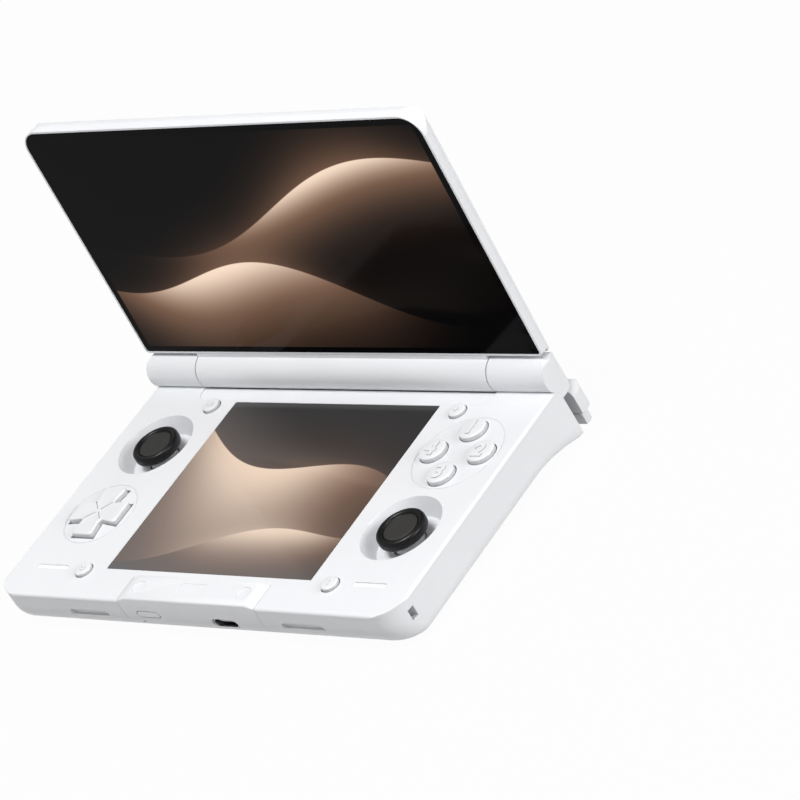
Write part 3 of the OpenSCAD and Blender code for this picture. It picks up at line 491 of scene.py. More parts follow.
def add_piece(
    name: str, bm: bmesh.types.BMesh, place: Placement, material: bpy.types.Material, body: str
) -> bpy.types.Object:
    """Makes an object of the model from a mesh drawn in a frame.

    Args:
        name: Name of the piece.
        bm: Its mesh, in the frame's millimetres; it is used up.
        place: The frame.
        material: Its material.
        body: The CAD body that it rides on.

    Returns:
        The new object.
    """
    bm.transform(place.matrix)
    face_outwards(bm)
    mesh = bpy.data.meshes.new(name)
    bm.to_mesh(mesh)
    bm.free()
    mesh.materials.append(material)
    obj = bpy.data.objects.new(name, mesh)
    bpy.context.scene.collection.objects.link(obj)
    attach(obj, body)
    return obj


def smooth_by_angle(obj: bpy.types.Object, degrees: float = 35.0) -> None:
    """Shades a piece smooth, except across edges sharper than an angle."""
    mesh = obj.data
    mesh.shade_smooth()
    bm = bmesh.new()
    bm.from_mesh(mesh)
    limit = math.radians(degrees)
    for edge in bm.edges:
        edge.smooth = len(edge.link_faces) == 2 and edge.calc_face_angle(0.0) < limit
    bm.to_mesh(mesh)
    bm.free()


def revolve(profile: list[tuple[float, float]], segments: int, ripple: float = 0.0) -> bmesh.types.BMesh:
    """Turns an outline about Z.

    Args:
        profile: Points (radius, z) from one end to the other.
        segments: Steps round the axis.
        ripple: Depth of fine grip ridges on the points of greatest radius.

    Returns:
        The closed mesh.
    """
    bm = bmesh.new()
    widest = max(r for r, _ in profile)
    rings: list[list[bmesh.types.BMVert]] = []
    for r, z in profile:
        if r < 1e-6:
            rings.append([bm.verts.new((0.0, 0.0, z))])
            continue
        ring = []
        for i in range(segments):
            angle = 2.0 * math.pi * i / segments
            cut = ripple * (i % 4 in (2, 3)) if r > widest - 0.02 else 0.0
            ring.append(bm.verts.new(((r - cut) * math.cos(angle), (r - cut) * math.sin(angle), z)))
        rings.append(ring)
    for lower, upper in zip(rings, rings[1:]):
        for i in range(segments):
            j = (i + 1) % segments
            if len(lower) == 1 and len(upper) > 1:
                bm.faces.new((lower[0], upper[i], upper[j]))
            elif len(upper) == 1 and len(lower) > 1:
                bm.faces.new((lower[i], lower[j], upper[0]))
            elif len(lower) > 1:
                bm.faces.new((lower[i], lower[j], upper[j], upper[i]))
    return bm


def arc(cx: float, cy: float, r: float, start: float, end: float, steps: int) -> list[tuple[float, float]]:
    """Gives points on an arc between two angles in degrees."""
    return [
        (cx + r * math.cos(math.radians(a)), cy + r * math.sin(math.radians(a)))
        for a in (start + (end - start) * i / steps for i in range(steps + 1))
    ]


def loft(rings: list[list[tuple[float, float, float]]]) -> bmesh.types.BMesh:
    """Joins closed rings of equally many points into a closed skin."""
    bm = bmesh.new()
    rows = [[bm.verts.new(point) for point in ring] for ring in rings]
    count = len(rows[0])
    for lower, upper in zip(rows, rows[1:]):
        for i in range(count):
            j = (i + 1) % count
            bm.faces.new((lower[i], lower[j], upper[j], upper[i]))
    bm.faces.new(rows[0][::-1])
    bm.faces.new(rows[-1])
    return bm


def prism(outline: list[tuple[float, float]], low: float, high: float) -> bmesh.types.BMesh:
    """Extrudes an outline in X and Y along Z."""
    return loft([[(x, y, z) for x, y in outline] for z in (low, high)])


def lying(bm: bmesh.types.BMesh) -> bmesh.types.BMesh:
    """Turns what was drawn in X and Y, and extruded along Z, to Y and Z, along X."""
    bm.transform(Matrix(((0, 0, 1, 0), (1, 0, 0, 0), (0, 1, 0, 0), (0, 0, 0, 1))))
    return bm


def drawn_in(outline: list[tuple[float, float]], depth: float) -> list[tuple[float, float]]:
    """Draws a closed outline, given anticlockwise, in by a depth."""
    result = []
    for before, point, after in zip(outline[-1:] + outline[:-1], outline, outline[1:] + outline[:1]):
        a = Vector((point[0] - before[0], point[1] - before[1])).normalized()
        b = Vector((after[0] - point[0], after[1] - point[1])).normalized()
        inward = Vector((-a.y - b.y, a.x + b.x)) / (1.0 + a.dot(b))
        result.append((point[0] + depth * inward.x, point[1] + depth * inward.y))
    return result


def softened(corners: list[tuple[float, float, float]], steps: int = 6) -> list[tuple[float, float]]:
    """Rounds the corners of an outline.

    Args:
        corners: Points (x, y, radius) in anticlockwise order.
        steps: Steps round each corner.

    Returns:
        The rounded outline.
    """
    outline: list[tuple[float, float]] = []
    for before, (x, y, r), after in zip(corners[-1:] + corners[:-1], corners, corners[1:] + corners[:1]):
        point = Vector((x, y))
        a = (Vector(before[:2]) - point).normalized()
        b = (Vector(after[:2]) - point).normalized()
        half = a.angle(b) / 2.0
        reach = r / math.tan(half)
        middle = point + (a + b).normalized() * (r / math.sin(half))
        start, end = point + a * reach - middle, point + b * reach - middle
        turn = math.atan2(start.x * end.y - start.y * end.x, start.dot(end))
        first = math.atan2(start.y, start.x)
        for i in range(steps + 1):
            angle = first + turn * i / steps
            outline.append((middle.x + r * math.cos(angle), middle.y + r * math.sin(angle)))
    return outline


def block(x0: float, x1: float, y0: float, y1: float, z0: float, z1: float) -> bmesh.types.BMesh:
    """Makes a box to cut with."""
    return prism([(x0, y0), (x1, y0), (x1, y1), (x0, y1)], z0, z1)


def pill(x: float, y: float, w: float, h: float, steps: int = 10) -> list[tuple[float, float]]:
    """Gives the outline of a bar with round ends."""
    r = h / 2.0
    reach = w / 2.0 - r
    return arc(x + reach, y, r, -90, 90, steps) + arc(x - reach, y, r, 90, 270, steps)


def standing(bm: bmesh.types.BMesh) -> bmesh.types.BMesh:
    """Turns what was drawn in X and Y, and extruded along Z, to X and Z, along Y."""
    bm.transform(Matrix(((1, 0, 0, 0), (0, 0, 1, 0), (0, 1, 0, 0), (0, 0, 0, 1))))
    return bm


def temporary(bm: bmesh.types.BMesh) -> bpy.types.Object:
    """Makes a passing object from a mesh, for a cut."""
    face_outwards(bm)
    mesh = bpy.data.meshes.new("cut")
    bm.to_mesh(mesh)
    bm.free()
    obj = bpy.data.objects.new("cut", mesh)
    bpy.context.scene.collection.objects.link(obj)
    return obj


def carve(body: bmesh.types.BMesh, cutters: list[bmesh.types.BMesh]) -> bmesh.types.BMesh:
    """Cuts closed shapes out of a closed body.

    Args:
        body: The body; it is used up.
        cutters: The shapes to take away; they are used up.

    Returns:
        What is left of the body.
    """
    target = temporary(body)
    others = [temporary(cutter) for cutter in cutters]
    for other in others:
        modifier = target.modifiers.new("cut", "BOOLEAN")
        modifier.operation = "DIFFERENCE"
        modifier.solver = "MANIFOLD"
        modifier.object = other
    depsgraph = bpy.context.evaluated_depsgraph_get()
    result = bmesh.new()
    result.from_object(target, depsgraph)
    for obj in [target, *others]:
        bpy.data.meshes.remove(obj.data)
    bmesh.ops.remove_doubles(result, verts=result.verts[:], dist=1e-4)
    return result


def dress(node: str, material: bpy.types.Material) -> None:
    """Gives a CAD node's object a material in all its slots."""
    obj = frame["nodes"][node]
    if not obj.data.materials:
        obj.data.materials.append(material)
    for index in range(len(obj.material_slots)):
        obj.material_slots[index].material = material


# ---- the console's pieces -------------------------------------------------------


@dataclass(frozen=True)
class Finishes:
    """The materials that the pieces share."""

    shell: bpy.types.Material
    keys: bpy.types.Material
    buttons: bpy.types.Material
    relief: bpy.types.Material
    liner: bpy.types.Material
    rubber: bpy.types.Material
    dish: bpy.types.Material
    dark: bpy.types.Material
    steel: bpy.types.Material
    brass: bpy.types.Material
    alloy: bpy.types.Material
    board: bpy.types.Material
    foil: bpy.types.Material
    silicone: bpy.types.Material
    panel: bpy.types.Material

    @classmethod
    def make(cls) -> "Finishes":
        """Builds every shared material."""
        white = (0.80, 0.81, 0.83)
        off_white = (0.77, 0.78, 0.80)
        return cls(
            shell=Moulded("shell_white", white, off_white, 0.36, edge=0.16, specular=0.5, coat=0.1).build(),
            keys=Moulded("key_white", (0.79, 0.80, 0.81), off_white, 0.32, edge=0.2, coat=0.15).build(),
            # painted shade: the buttons' and the signs' sides are darkened against their tops (side below 1)
            buttons=Moulded(
                "button_white_painted_side_shade", (0.77, 0.78, 0.79), off_white, 0.32, edge=0.2, coat=0.15, side=0.7
            ).build(),
            relief=Moulded("sign_white_painted_side_shade", (0.79, 0.80, 0.81), off_white, 0.35, edge=0.04, side=0.3).build(),
            liner=Moulded("speaker_cloth", (0.95, 0.95, 0.95), (0.9, 0.9, 0.9), 0.7, edge=0.05).build(),
            rubber=Moulded(
                "grip_rubber", (0.004, 0.004, 0.0045), (0.008, 0.008, 0.009), 0.36, 0.06, 5200.0, 0.012, 0.1,
                specular=0.3,
            ).build(),
            # the dish rubber is lighter than the grip: partly its own matte finish, partly painted light on
            # the cap's top
            dish=Moulded(
                "dish_rubber_and_painted_top_light", (0.022, 0.022, 0.021), (0.032, 0.032, 0.03), 0.6, 0.08, 5200.0, 0.02, 0.1,
                specular=0.35,
            ).build(),
            dark=Moulded("dark_moulding", (0.03, 0.03, 0.032), (0.045, 0.045, 0.05), 0.5).build(),
            steel=Metal("plated_steel", (0.55, 0.55, 0.57), 0.3).build(),
            brass=Metal("turned_brass", (0.70, 0.52, 0.25), 0.28).build(),
            alloy=Metal("stamped_alloy", (0.66, 0.67, 0.69), 0.38).build(),
            board=Moulded(
                "solder_mask", (0.01, 0.09, 0.045), (0.015, 0.12, 0.06), 0.35, grain=2500.0
            ).build(),
            foil=Moulded("battery_wrap", (0.05, 0.055, 0.065), (0.07, 0.075, 0.085), 0.45).build(),
            silicone=Moulded("key_silicone", (0.45, 0.46, 0.47), (0.5, 0.5, 0.51), 0.6, edge=0.2).build(),
            panel=Moulded("panel_stack", (0.02, 0.02, 0.022), (0.03, 0.03, 0.035), 0.3).build(),
        )


NODE_FINISH: dict[str, tuple[str, ...]] = {
    "shell": (
        "base_top_shell", "base_bottom_shell", "front_insert", "lid_barrel", "lid_back_shell", "lid_frame",
    ),
    "keys": (
        "power_button", "volume_rocker", "left_bumper", "right_bumper", "left_trigger", "right_trigger",
        "left_stick_dome", "right_stick_dome",
    ),
    "buttons": (
        "dpad", "face_button_top", "face_button_right", "face_button_bottom", "face_button_left",
        "upper_left_button", "upper_right_button", "lower_left_button", "lower_right_button",
    ),
    "rubber": ("left_stick_cap", "right_stick_cap"),
    "dark": (
        "left_speaker", "right_speaker", "headphone_jack", "left_stick_module", "right_stick_module",
        "left_stick_stem", "right_stick_stem", "display_cable", "base_cable",
    ),
    "steel": (
        "case_screws", "usb_port", "card_slot", "tact_switches", "left_stick_cradle", "right_stick_cradle",
        "left_shoulder_pin", "right_shoulder_pin", "left_hinge_pin", "right_hinge_pin",
    ),
    "alloy": ("mid_frame", "heat_spreader"),
    "brass": ("left_hinge_bush", "right_hinge_bush"),
    "board": ("main_board", "left_board", "right_board", "lid_board"),
    "foil": ("battery",),
    "silicone": ("face_membrane", "dpad_membrane"),
    "panel": ("lower_display", "upper_display"),
}


def dress_all(finishes: Finishes) -> None:
    """Gives every CAD node the material of its finish."""
    for finish, nodes in NODE_FINISH.items():
        for node in nodes:
            dress(node, getattr(finishes, finish))


@dataclass(frozen=True)
class TraySizes:
    """Sizes of the base's lower shell, in millimetres."""

    top: float = -1.4
    front_r: float = 8.4
    side_r: float = 3.2
    corner_front: float = 8.0
    corner_back: float = 6.0
    wall: float = 1.6
    hump_drop: float = 3.2
    hump_start: float = 22.0
    ridge: float = 41.0
    hump_inner: float = 31.6
    hump_blend: float = 7.0
    pocket_x: float = 31.5
    pocket_y: float = 41.4
    boss_r: float = 2.6
    head_r: float = 1.95
    head_z: float = -12.0


class Tray:
    """The base's lower shell: one flowing skin that swells into two grip humps."""

    ROUND_STEPS = 14
    FLOOR_STEPS = 14
    CORNER_STEPS = 12
    SIDE_PARTS = (16, 44, 16, 44)
    SCREWS = ((71.2, 33.0), (71.2, -27.0), (29.6, -36.7))

    def __init__(self, sizes: TraySizes = TraySizes()) -> None:
        self.sizes = sizes

    def _outline(self, side: float, front: float, inset: float) -> list[tuple[float, float]]:
        """Gives the plan of the shell where its skin has drawn in by two amounts."""
        s = self.sizes
        x = SIZES.half_w - side - inset
        y0 = front + inset - SIZES.front
        y1 = SIZES.back - 0.5 * side - inset
        fx = max(s.corner_front - side - inset, 3.0)
        fy = max(s.corner_front - 0.6 * front - inset, 3.0)
        b = max(s.corner_back - side - inset, 3.0)
        corners: list[list[tuple[float, float]]] = []
        for cx, cy, rx, ry, start in (
            (x - fx, y0 + fy, fx, fy, -90.0), (x - b, y1 - b, b, b, 0.0),
            (b - x, y1 - b, b, b, 90.0), (fx - x, y0 + fy, fx, fy, 180.0),
        ):
            steps = self.CORNER_STEPS
            turns = [math.radians(start + 90.0 * i / steps) for i in range(steps + 1)]
            corners.append([(cx + rx * math.cos(a), cy + ry * math.sin(a)) for a in turns])
        points: list[tuple[float, float]] = []
        for corner, following, parts in zip(corners, corners[1:] + corners[:1], self.SIDE_PARTS):
            points += corner
            (ax, ay), (bx, by) = corner[-1], following[0]
            points += [(ax + (bx - ax) * i / parts, ay + (by - ay) * i / parts) for i in range(1, parts)]
        return points

    def _sunk(self, x: float, y: float, z: float, side: float, inset: float) -> tuple[float, float, float]:
        """Moves a point of the plain tray down and out to where the humps carry it."""
        s = self.sizes
        run = min(max((y - s.hump_start) / (s.ridge - s.hump_start), 0.0), 1.0)
        aside = min(max((abs(x) - s.hump_inner) / s.hump_blend, 0.0), 1.0)
        deep = min(max((-z - 4.0) / (SIZES.base_t - inset - 4.0), 0.0), 1.0)
        ease = aside * aside * (3.0 - 2.0 * aside) * deep * deep * (3.0 - 2.0 * deep)
        wide = SIZES.half_w - side - inset
        out = 1.0 + (side / wide) * run * aside
        return (x * out, y, z - s.hump_drop * run * run * ease)

    def _skin(self, inset: float, top: float) -> bmesh.types.BMesh:
        """Makes the closed body of the tray, drawn in by an inset."""
        s = self.sizes
        low = inset - SIZES.base_t
        rings = [(z, 0.0, 0.0) for z in (top, -2.6, -3.8)]
        radius = s.front_r - inset
        side_r = s.side_r - inset
        for i in range(self.ROUND_STEPS + 1):
            angle = 0.5 * math.pi * i / self.ROUND_STEPS
            z = low + radius * (1.0 - math.sin(angle))
            near = min(max(side_r - (z - low), 0.0), side_r)
            side = side_r - math.sqrt(side_r * side_r - near * near)
            rings.append((z, side, radius * (1.0 - math.cos(angle))))
        skin = []
        for z, side, front in rings:
            skin.append([self._sunk(x, y, z, side, inset) for x, y in self._outline(side, front, inset)])
        last = self._outline(rings[-1][1], rings[-1][2], inset)
        for k in range(1, self.FLOOR_STEPS):
            share = 1.0 - k / self.FLOOR_STEPS
            side = rings[-1][1] * share
            skin.append([self._sunk(x * share, 2.0 + (y - 2.0) * share, low, side, inset) for x, y in last])
        return loft(skin[::-1])

    def _openings(self) -> list[bmesh.types.BMesh]:
        """Makes what is cut through the walls."""
        s = self.sizes
        cuts = [
            block(-26.02, 26.02, -46.0, -40.0, -9.52, 5.0),
            standing(prism(pill(0.0, -5.7, 20.6, 3.0), 45.0, 50.0)),
            standing(prism(pill(20.0, -4.45, 12.0, 1.4), 45.0, 50.0)),
            standing(prism(arc(-18.0, -9.0, 3.1, 0, 352.5, 47), 45.0, 50.0)),
            lying(prism(arc(SIZES.hinge_y, SIZES.hinge_z, 6.65, 0, 355, 71), -56.4, 56.4)),
            block(70.6, 76.0, -39.1, -36.9, -6.7, -3.3),
            block(70.6, 73.0, -39.1, -36.9, -20.0, -5.0),
        ]
        for side in (-1.0, 1.0):
            ends = sorted((side * s.pocket_x, side * 80.0))
            cuts.append(block(*ends, s.pocket_y, 60.0, -30.0, 5.0))
            cuts.append(standing(prism(pill(side * 40.4, -5.8, 15.0, 2.4), -50.0, -42.0)))
            for x, y in self.SCREWS:
                cuts.append(prism(arc(side * x, y, s.head_r, 0, 345, 23), -30.0, s.head_z))
        cuts.append(prism(arc(0.0, 36.0, s.head_r, 0, 345, 23), -30.0, s.head_z))
        return cuts

    def _room(self) -> bmesh.types.BMesh:
        """Makes the hollow inside, with what stands up in it left out."""
        s = self.sizes
        solid = [prism(arc(0.0, 36.0, s.boss_r, 0, 345, 23), -30.0, -10.3)]
        for side in (-1.0, 1.0):
            ends = sorted((side * (s.pocket_x - s.wall), side * 80.0))
            solid.append(block(*ends, s.pocket_y - s.wall, 60.0, -30.0, 5.0))
            for x, y in self.SCREWS:
                solid.append(prism(arc(side * x, y, s.boss_r, 0, 345, 23), -30.0, -10.3))
        solid.append(block(69.0, 80.0, -40.7, -35.3, -20.0, -1.7))
        return carve(self._skin(s.wall, 1.0), solid)

    def build(self, finishes: Finishes) -> None:
        """Makes the shell in place of its CAD node."""
        shell = carve(self._skin(0.0, self.sizes.top), [self._room(), *self._openings()])
        piece = add_piece("tray_skin", shell, DEVICE, finishes.shell, "base")
        smooth_by_angle(piece, 32.0)
        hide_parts("base_bottom_shell")


@dataclass(frozen=True)
class StickSizes:
    """Sizes of a thumbstick, in millimetres from the face."""

    cap_r: float = 7.2
    dish_r: float = 4.95
    top: float = 0.8
    thick: float = 3.3
    dome_r: float = 5.1
    pivot: float = -8.3


class Stick:
    """A thumbstick's rubber cap and white dome."""

    def __init__(self, side: str, x: float, y: float, sizes: StickSizes = StickSizes()) -> None:
        self.side = side
        self.place = DEVICE.moved(x, y)
        self.sizes = sizes

    def build(self, finishes: Finishes) -> None:
        """Makes both pieces."""
        s = self.sizes
        low = s.top - s.thick
        groove = s.dish_r + 0.35
        rim_r = (s.cap_r - groove) / 2.0
        cap = [(0.0, low - 0.35), (3.0, low - 0.3), (5.2, low), (6.6, low + 0.2), (7.0, low + 0.5)]
        cap += [(s.cap_r, low + 0.9)]
        cap += arc(s.cap_r - rim_r, s.top - rim_r, rim_r, 0, 150, 12)
        cap += [(groove, s.top - 0.75), (s.dish_r, s.top - 0.85), (0.0, s.top - 0.85)]
        piece = add_piece(
            f"{self.side}_cap_grip", revolve(cap, 192, 0.07), self.place, finishes.rubber,
            f"{self.side}_stick",
        )
        smooth_by_angle(piece, 50.0)
        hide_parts(f"{self.side}_stick_cap")
        # the dish takes the lighter rubber: partly its own matte finish, partly painted light on the cap's
        # top
        dish = [(0.0, s.top - 0.9), (s.dish_r, s.top - 0.9), (s.dish_r, s.top - 0.6), (4.4, s.top - 0.42)]
        dish += [(3.8, s.top - 0.42), (2.6, s.top - 0.5), (1.3, s.top - 0.55), (0.0, s.top - 0.56)]
        piece = add_piece(
            f"{self.side}_cap_dish", revolve(dish, 96), self.place, finishes.dish,
            f"{self.side}_stick",
        )
        smooth_by_angle(piece, 50.0)
        dome = [(0.0, -0.9)] + arc(0.0, 0.0, s.dome_r, -10, 90, 24)
        dome[-1] = (0.0, s.dome_r)
        piece = add_piece(
            f"{self.side}_dome_skin", revolve(dome, 96), self.place.moved(0.0, 0.0, s.pivot), finishes.keys,
            f"{self.side}_stick_dome",
        )
        smooth_by_angle(piece, 50.0)
        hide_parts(f"{self.side}_stick_dome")


@dataclass(frozen=True)
class ButtonSizes:
    """Sizes of a round button, in millimetres from the face."""

    r: float
    top: float
    low: float = -2.3
    ease: float = 0.55
    crown: float = 0.12


class RoundButton:
    """A round key with an eased edge and a faintly crowned top."""

    def __init__(self, node: str, x: float, y: float, sizes: ButtonSizes) -> None:
        self.node = node
        self.place = DEVICE.moved(x, y)
        self.sizes = sizes

    def build(self, finishes: Finishes) -> None:
        """Makes the key's piece in place of its CAD node."""
        s = self.sizes
        outline = [(0.0, s.low), (s.r + 0.45, s.low), (s.r + 0.45, s.low + 0.65), (s.r, s.low + 0.65)]
        outline += arc(s.r - s.ease, s.top - s.crown - s.ease, s.ease, 0, 78, 8)
        outline += [(r * (s.r - s.ease), s.top - s.crown * r * r) for r in (0.8, 0.55, 0.3)]
        outline += [(0.0, s.top)]
        piece = add_piece(
            f"{self.node}_key", revolve(outline, 96), self.place, finishes.buttons, self.node
        )
        smooth_by_angle(piece, 40.0)
        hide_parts(self.node)


def lettering(sign: str, height: float, rise: float) -> bmesh.types.BMesh:
    """Makes a raised plain sign, centred, in millimetres."""
    curve = bpy.data.curves.new("sign", "FONT")
    curve.body = sign
    curve.align_x = "CENTER"
    curve.align_y = "CENTER"
    curve.size = height * 1.4
    curve.offset = 0.055 * height
    curve.extrude = rise / 2.0
    curve.bevel_depth = 0.05
    obj = bpy.data.objects.new("sign", curve)
    bpy.context.scene.collection.objects.link(obj)
    bpy.context.view_layer.update()
    shape = bpy.data.meshes.new_from_object(obj.evaluated_get(bpy.context.evaluated_depsgraph_get()))
    bm = bmesh.new()
    bm.from_mesh(shape)
    bpy.data.meshes.remove(shape)
    bpy.data.objects.remove(obj)
    bpy.data.curves.remove(curve)
    xs = [v.co.x for v in bm.verts]
    ys = [v.co.y for v in bm.verts]
    middle = ((min(xs) + max(xs)) / 2, (min(ys) + max(ys)) / 2)
    bmesh.ops.translate(bm, verts=bm.verts[:], vec=(-middle[0], -middle[1], 0.0))
    return bm


@dataclass(frozen=True)
class Sign:
    """A plain raised sign on a key.

    Attributes:
        node: The key's CAD body.
        sign: What it shows.
        x: Its place across the console.
        y: Its place up the console.
        z: Height of the key's top.
        height: Height of the sign.
        rise: How far it stands up.
    """

    node: str
    sign: str
    x: float
    y: float
    z: float
    height: float
    rise: float

    def build(self, finishes: Finishes) -> None:
        """Makes the sign's piece."""
        bm = lettering(self.sign, self.height, self.rise)
        place = DEVICE.moved(self.x, self.y, self.z - 0.06)
        add_piece(f"{self.node}_sign", bm, place, finishes.relief, self.node)


def build_keys(finishes: Finishes) -> None:
    """Makes the four face buttons and the four small buttons with their signs."""
    pitch = 8.5
    for name, dx, dy, sign in (
        ("top", 0, 1, "1"), ("right", 1, 0, "2"), ("bottom", 0, -1, "3"), ("left", -1, 0, "4"),
    ):
        x = SIZES.column_x + dx * pitch
        y = SIZES.upper_y + dy * pitch
        node = f"face_button_{name}"
        RoundButton(node, x, y, ButtonSizes(4.1, 1.6)).build(finishes)
        Sign(node, sign, x, y, 1.6, 4.7, 0.4).build(finishes)
    for side, row, sx, y, sign in (
        ("left", "upper", -1, 31.2, "="), ("right", "upper", 1, 31.2, "+"),
        ("left", "lower", -1, -34.7, "o"), ("right", "lower", 1, -34.7, ":"),
    ):
        node = f"{row}_{side}_button"
        RoundButton(node, sx * 46.6, y, ButtonSizes(2.6, 1.1, -2.2, 0.4, 0.08)).build(finishes)
        Sign(node, sign, sx * 46.6, y, 1.1, 2.2, 0.3).build(finishes)


@dataclass(frozen=True)
class PadSizes:
    """Sizes of the direction pad, in millimetres."""

    half: float = 9.4
    tip: float = 4.3
    waist: float = 2.8
    top: float = 1.6
    ease: float = 0.6


class Pad:
    """The direction pad: four flaring arms with eased edges and a crossed groove."""

    def __init__(self, sizes: PadSizes = PadSizes()) -> None:
        self.sizes = sizes

    def _outline(self) -> list[tuple[float, float]]:
        s = self.sizes
        slope = (s.tip - s.waist) / s.half
        inner = s.waist / (1.0 - slope)
        corners: list[tuple[float, float, float]] = []
        for quarter in range(4):
            c, n = ((1, 0), (0, 1), (-1, 0), (0, -1))[quarter]
            for x, y, r in ((s.half, -s.tip, 1.1), (s.half, s.tip, 1.1), (inner, inner, 0.8)):
                corners.append((c * x - n * y, n * x + c * y, r))
        return softened(corners)

    def build(self, finishes: Finishes) -> None:
        """Makes the pad in place of its CAD node."""
        s = self.sizes
        outline = self._outline()
        rings = [[(x, y, -2.1) for x, y in outline], [(x, y, s.top - s.ease) for x, y in outline]]
        for i in range(1, 7):
            angle = math.radians(15.0 * i)
            z = s.top - s.ease * (1.0 - math.sin(angle))
            rings.append([(x, y, z) for x, y in drawn_in(outline, s.ease * (1.0 - math.cos(angle)))])
        inside = drawn_in(outline, s.ease)
        for share, drop in ((0.8, 0.03), (0.55, 0.1), (0.3, 0.16)):
            rings.append([(x * share, y * share, s.top - drop) for x, y in inside])
        cuts = []
        for quarter in range(4):
            groove = block(0.9, 4.6, -0.17, 0.17, s.top - 0.45, 3.0)
            groove.transform(Matrix.Rotation(math.radians(45.0 + 90.0 * quarter), 4, "Z"))
            cuts.append(groove)
        place = DEVICE.moved(-SIZES.column_x, SIZES.lower_y)
        piece = add_piece("pad_top", carve(loft(rings), cuts), place, finishes.buttons, "dpad")
        smooth_by_angle(piece, 35.0)
        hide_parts("dpad")


@dataclass(frozen=True)
class InsertSizes:
    """Sizes of the front insert, in millimetres."""

    half_w: float = 25.9
    depth: float = 8.8
    rise: float = 1.0
    ramp: float = 3.2
    low: float = -9.4
    wall: float = 1.6
    front_r: float = 8.4
    mark_r: float = 2.15
    mark_x: float = 19.8
    mark_y: float = -40.4


class Insert:
    """The raised insert in the middle of the front edge, with its port and key openings."""

    def __init__(self, sizes: InsertSizes = InsertSizes()) -> None:
        self.sizes = sizes

    def _section(self, top: float) -> list[tuple[float, float]]:
        """Gives the section in Y and Z where the plate's top is at a height."""
        s = self.sizes
        y0 = -SIZES.front
        y1 = s.depth - SIZES.front
        middle = -SIZES.base_t + s.front_r
        sweep = math.degrees(math.asin((middle - s.low) / s.front_r))
        section = arc(y0 + 0.6, top - 0.6, 0.6, 90, 180, 5)
        section += arc(y0 + s.front_r, middle, s.front_r, 180, 180 + sweep, 8)
        section += arc(y0 + s.front_r, middle, s.front_r - s.wall, 180 + sweep, 180, 8)
        section += [(y0 + s.wall, -1.38), (y1, -1.38), (y1, top)]
        return section

    def build(self, finishes: Finishes) -> None:
        """Makes the insert in place of its CAD node."""
        s = self.sizes
        rings = []
        for x, top in (
            (-s.half_w, 0.0), (s.ramp - s.half_w, s.rise), (0.0, s.rise),
            (s.half_w - s.ramp, s.rise), (s.half_w, 0.0),
        ):
            rings.append([(x, y, z) for y, z in self._section(top)])
        front = -SIZES.front
        label = softened([(-5.0, -42.6, 0.6), (5.0, -42.6, 0.6), (5.0, -38.2, 0.6), (-5.0, -38.2, 0.6)])
        cuts = [
            standing(prism(pill(11.4, -6.6, 9.4, 3.6), front - 1.0, front + 5.0)),
            standing(prism(pill(-16.6, -4.8, 8.9, 2.4), front - 1.0, front + 5.0)),
            standing(prism(arc(-20.8, -8.2, 0.45, 0, 330, 11), front - 1.0, front + 5.0)),
            prism(label, s.rise - 0.1, 3.0),
        ]
        for side in (-1.0, 1.0):
            mark = arc(side * s.mark_x, s.mark_y, s.mark_r, 0, 352.5, 47)
            cuts.append(prism(mark, s.rise - 0.2, 3.0))
        piece = add_piece("insert_skin", carve(loft(rings), cuts), DEVICE, finishes.shell, "base")
        smooth_by_angle(piece, 32.0)
        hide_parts("front_insert")


def build_liners(finishes: Finishes) -> None:
    """Lays the white cloth behind the sound openings of the face and the front wall."""
    for name, sx in (("left", -1.0), ("right", 1.0)):
        face = prism(pill(sx * 59.8, -33.8, 12.4, 1.9), -0.75, -0.55)
        add_piece(f"{name}_face_cloth", face, DEVICE, finishes.liner, "base")
        front = standing(prism(pill(sx * 40.4, -5.8, 15.4, 2.8), 1.2 - SIZES.front, 1.4 - SIZES.front))
        add_piece(f"{name}_front_cloth", front, DEVICE, finishes.liner, "base")


def build_screens() -> None:
    """Puts a lit picture behind both glasses."""
    upper = Picture(
        "upper_picture", 72.2, 9.2, 82.9,
        (
            Dune(56.0, 9.0, 150.0, 6.0, 0.16, 9.0, 10.0, 0.30, 34.0, 46.0),
            Dune(30.0, 8.0, 118.0, -38.0, -0.10, 15.0, 7.0, 0.22, -26.0, 40.0),
        ),
    )
    dress("upper_glass", upper.build(LID, LID.axis(0.0, 0.0, 1.0)))
    lower = Picture(
        "lower_picture", 39.0, -34.0, 34.0,
        (
            Dune(11.0, 7.0, 96.0, 8.0, -0.30, 52.0, 9.0, 0.25, -14.0, 48.0),
            Dune(-21.0, 4.0, 80.0, -12.0, 0.16, 15.0, 6.0, 0.2, 12.0, 30.0),
        ),
        # painted reflection over the lower picture, strongest at its near left
        painted_reflection_near=0.85, painted_reflection_far=0.22, sheen=0.25,
    )
    dress("lower_glass", lower.build(DEVICE, DEVICE.axis(0.0, 1.0, 0.0)))


# ---- stage -----------------------------------------------------------------------


@dataclass(frozen=True)
class Lamp:
    """A soft lamp of the studio, in metres from the object."""

    name: str
    place: tuple[float, float, float]
    size: float
    watts: float


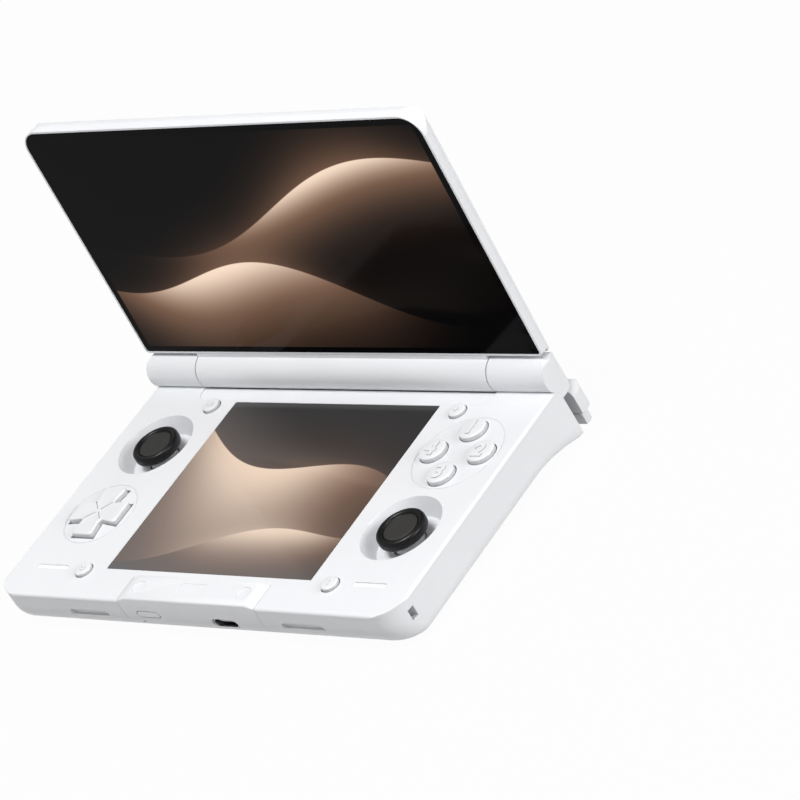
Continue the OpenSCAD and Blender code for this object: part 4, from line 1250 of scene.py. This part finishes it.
class Studio:
    """Floor, light and camera."""

    LAMPS = (
        Lamp("key_lamp", (0.1, -0.27, 1.18), 0.5, 11.6),
        Lamp("side_lamp", (1.2, 0.15, 0.4), 0.7, 8.2),
        Lamp("back_lamp", (0.0, 1.0, 0.9), 0.8, 1.0),
    )

    def build(self) -> None:
        """Makes the whole stage."""
        self._floor()
        self._world()
        for lamp in self.LAMPS:
            self._lamp(lamp)
        self._camera()

    @staticmethod
    def _seen(g: Graph) -> Sock:
        """Gives 1 for what the camera sees straight, by reflection or through glass."""
        kinds = [g.node("ShaderNodeLightPath", out=name) for name in ("Is Camera Ray", "Is Glossy Ray")]
        kinds.append(g.node("ShaderNodeLightPath", out="Is Transmission Ray"))
        return (kinds[0] + kinds[1] + kinds[2]).least(1.0)

    def _floor(self) -> None:
        g = Graph("floor_white")
        veil = g.node("ShaderNodeEmission", None, {"Color": rgb(1.0, 1.0, 1.0), "Strength": 1.0})
        paint = g.node("ShaderNodeBsdfDiffuse", None, {"Color": rgb(0.42, 0.42, 0.42)})
        mixed = g.node("ShaderNodeMixShader", None, {0: self._seen(g) * 0.97, 1: paint, 2: veil})
        g.node_out(mixed)
        bm = bmesh.new()
        bmesh.ops.create_grid(bm, x_segments=8, y_segments=8, size=12.0)
        mesh = bpy.data.meshes.new("floor")
        bm.to_mesh(mesh)
        bm.free()
        mesh.materials.append(g.material)
        floor = bpy.data.objects.new("floor", mesh)
        bpy.context.scene.collection.objects.link(floor)

    def _world(self) -> None:
        world = bpy.data.worlds.new("studio")
        bpy.context.scene.world = world
        world.use_nodes = True
        tree = world.node_tree
        tree.nodes.clear()
        out = tree.nodes.new("ShaderNodeOutputWorld")
        mix = tree.nodes.new("ShaderNodeMixShader")
        path = tree.nodes.new("ShaderNodeLightPath")
        for index, strength in ((1, 0.33), (2, 1.0)):
            sky = tree.nodes.new("ShaderNodeBackground")
            sky.inputs["Color"].default_value = rgb(1.0, 1.0, 1.0)
            sky.inputs["Strength"].default_value = strength
            tree.links.new(sky.outputs[0], mix.inputs[index])
        tree.links.new(path.outputs["Is Camera Ray"], mix.inputs[0])
        tree.links.new(mix.outputs[0], out.inputs["Surface"])

    @staticmethod
    def _lamp(lamp: Lamp) -> None:
        light = bpy.data.lights.new(lamp.name, "AREA")
        light.shape = "DISK"
        light.size = lamp.size
        light.energy = lamp.watts
        obj = bpy.data.objects.new(lamp.name, light)
        obj.location = lamp.place
        aim = Vector((0.0, 0.0, 0.04)) - Vector(lamp.place)
        obj.rotation_euler = aim.to_track_quat("-Z", "Y").to_euler()
        bpy.context.scene.collection.objects.link(obj)

    @staticmethod
    def _camera() -> None:
        right = DEVICE.axis(0.733, 0.507, -0.454)
        back = -DEVICE.axis(-0.680, 0.533, -0.503)
        up = back.cross(right).normalized()
        right = up.cross(back).normalized()
        camera = bpy.data.cameras.new("camera")
        camera.lens = 192.63
        camera.sensor_width = 36.0
        obj = bpy.data.objects.new("camera", camera)
        turn = Matrix((right, up, back)).transposed()
        obj.matrix_world = Matrix.Translation(DEVICE.point(811.74, -583.1, 583.7)) @ turn.to_4x4()
        bpy.context.scene.collection.objects.link(obj)
        bpy.context.scene.camera = obj


def main() -> None:
    """Dresses the console and sets its stage."""
    logging.basicConfig(level=logging.INFO)
    bpy.context.scene.view_settings.view_transform = "Standard"
    finishes = Finishes.make()
    dress_all(finishes)
    build_screens()
    build_keys(finishes)
    Stick("left", -SIZES.column_x, SIZES.upper_y).build(finishes)
    Stick("right", SIZES.right_stick_x, SIZES.lower_y).build(finishes)
    Pad().build(finishes)
    Insert().build(finishes)
    Tray().build(finishes)
    build_liners(finishes)
    Studio().build()


if __name__ == "__main__":
    main()
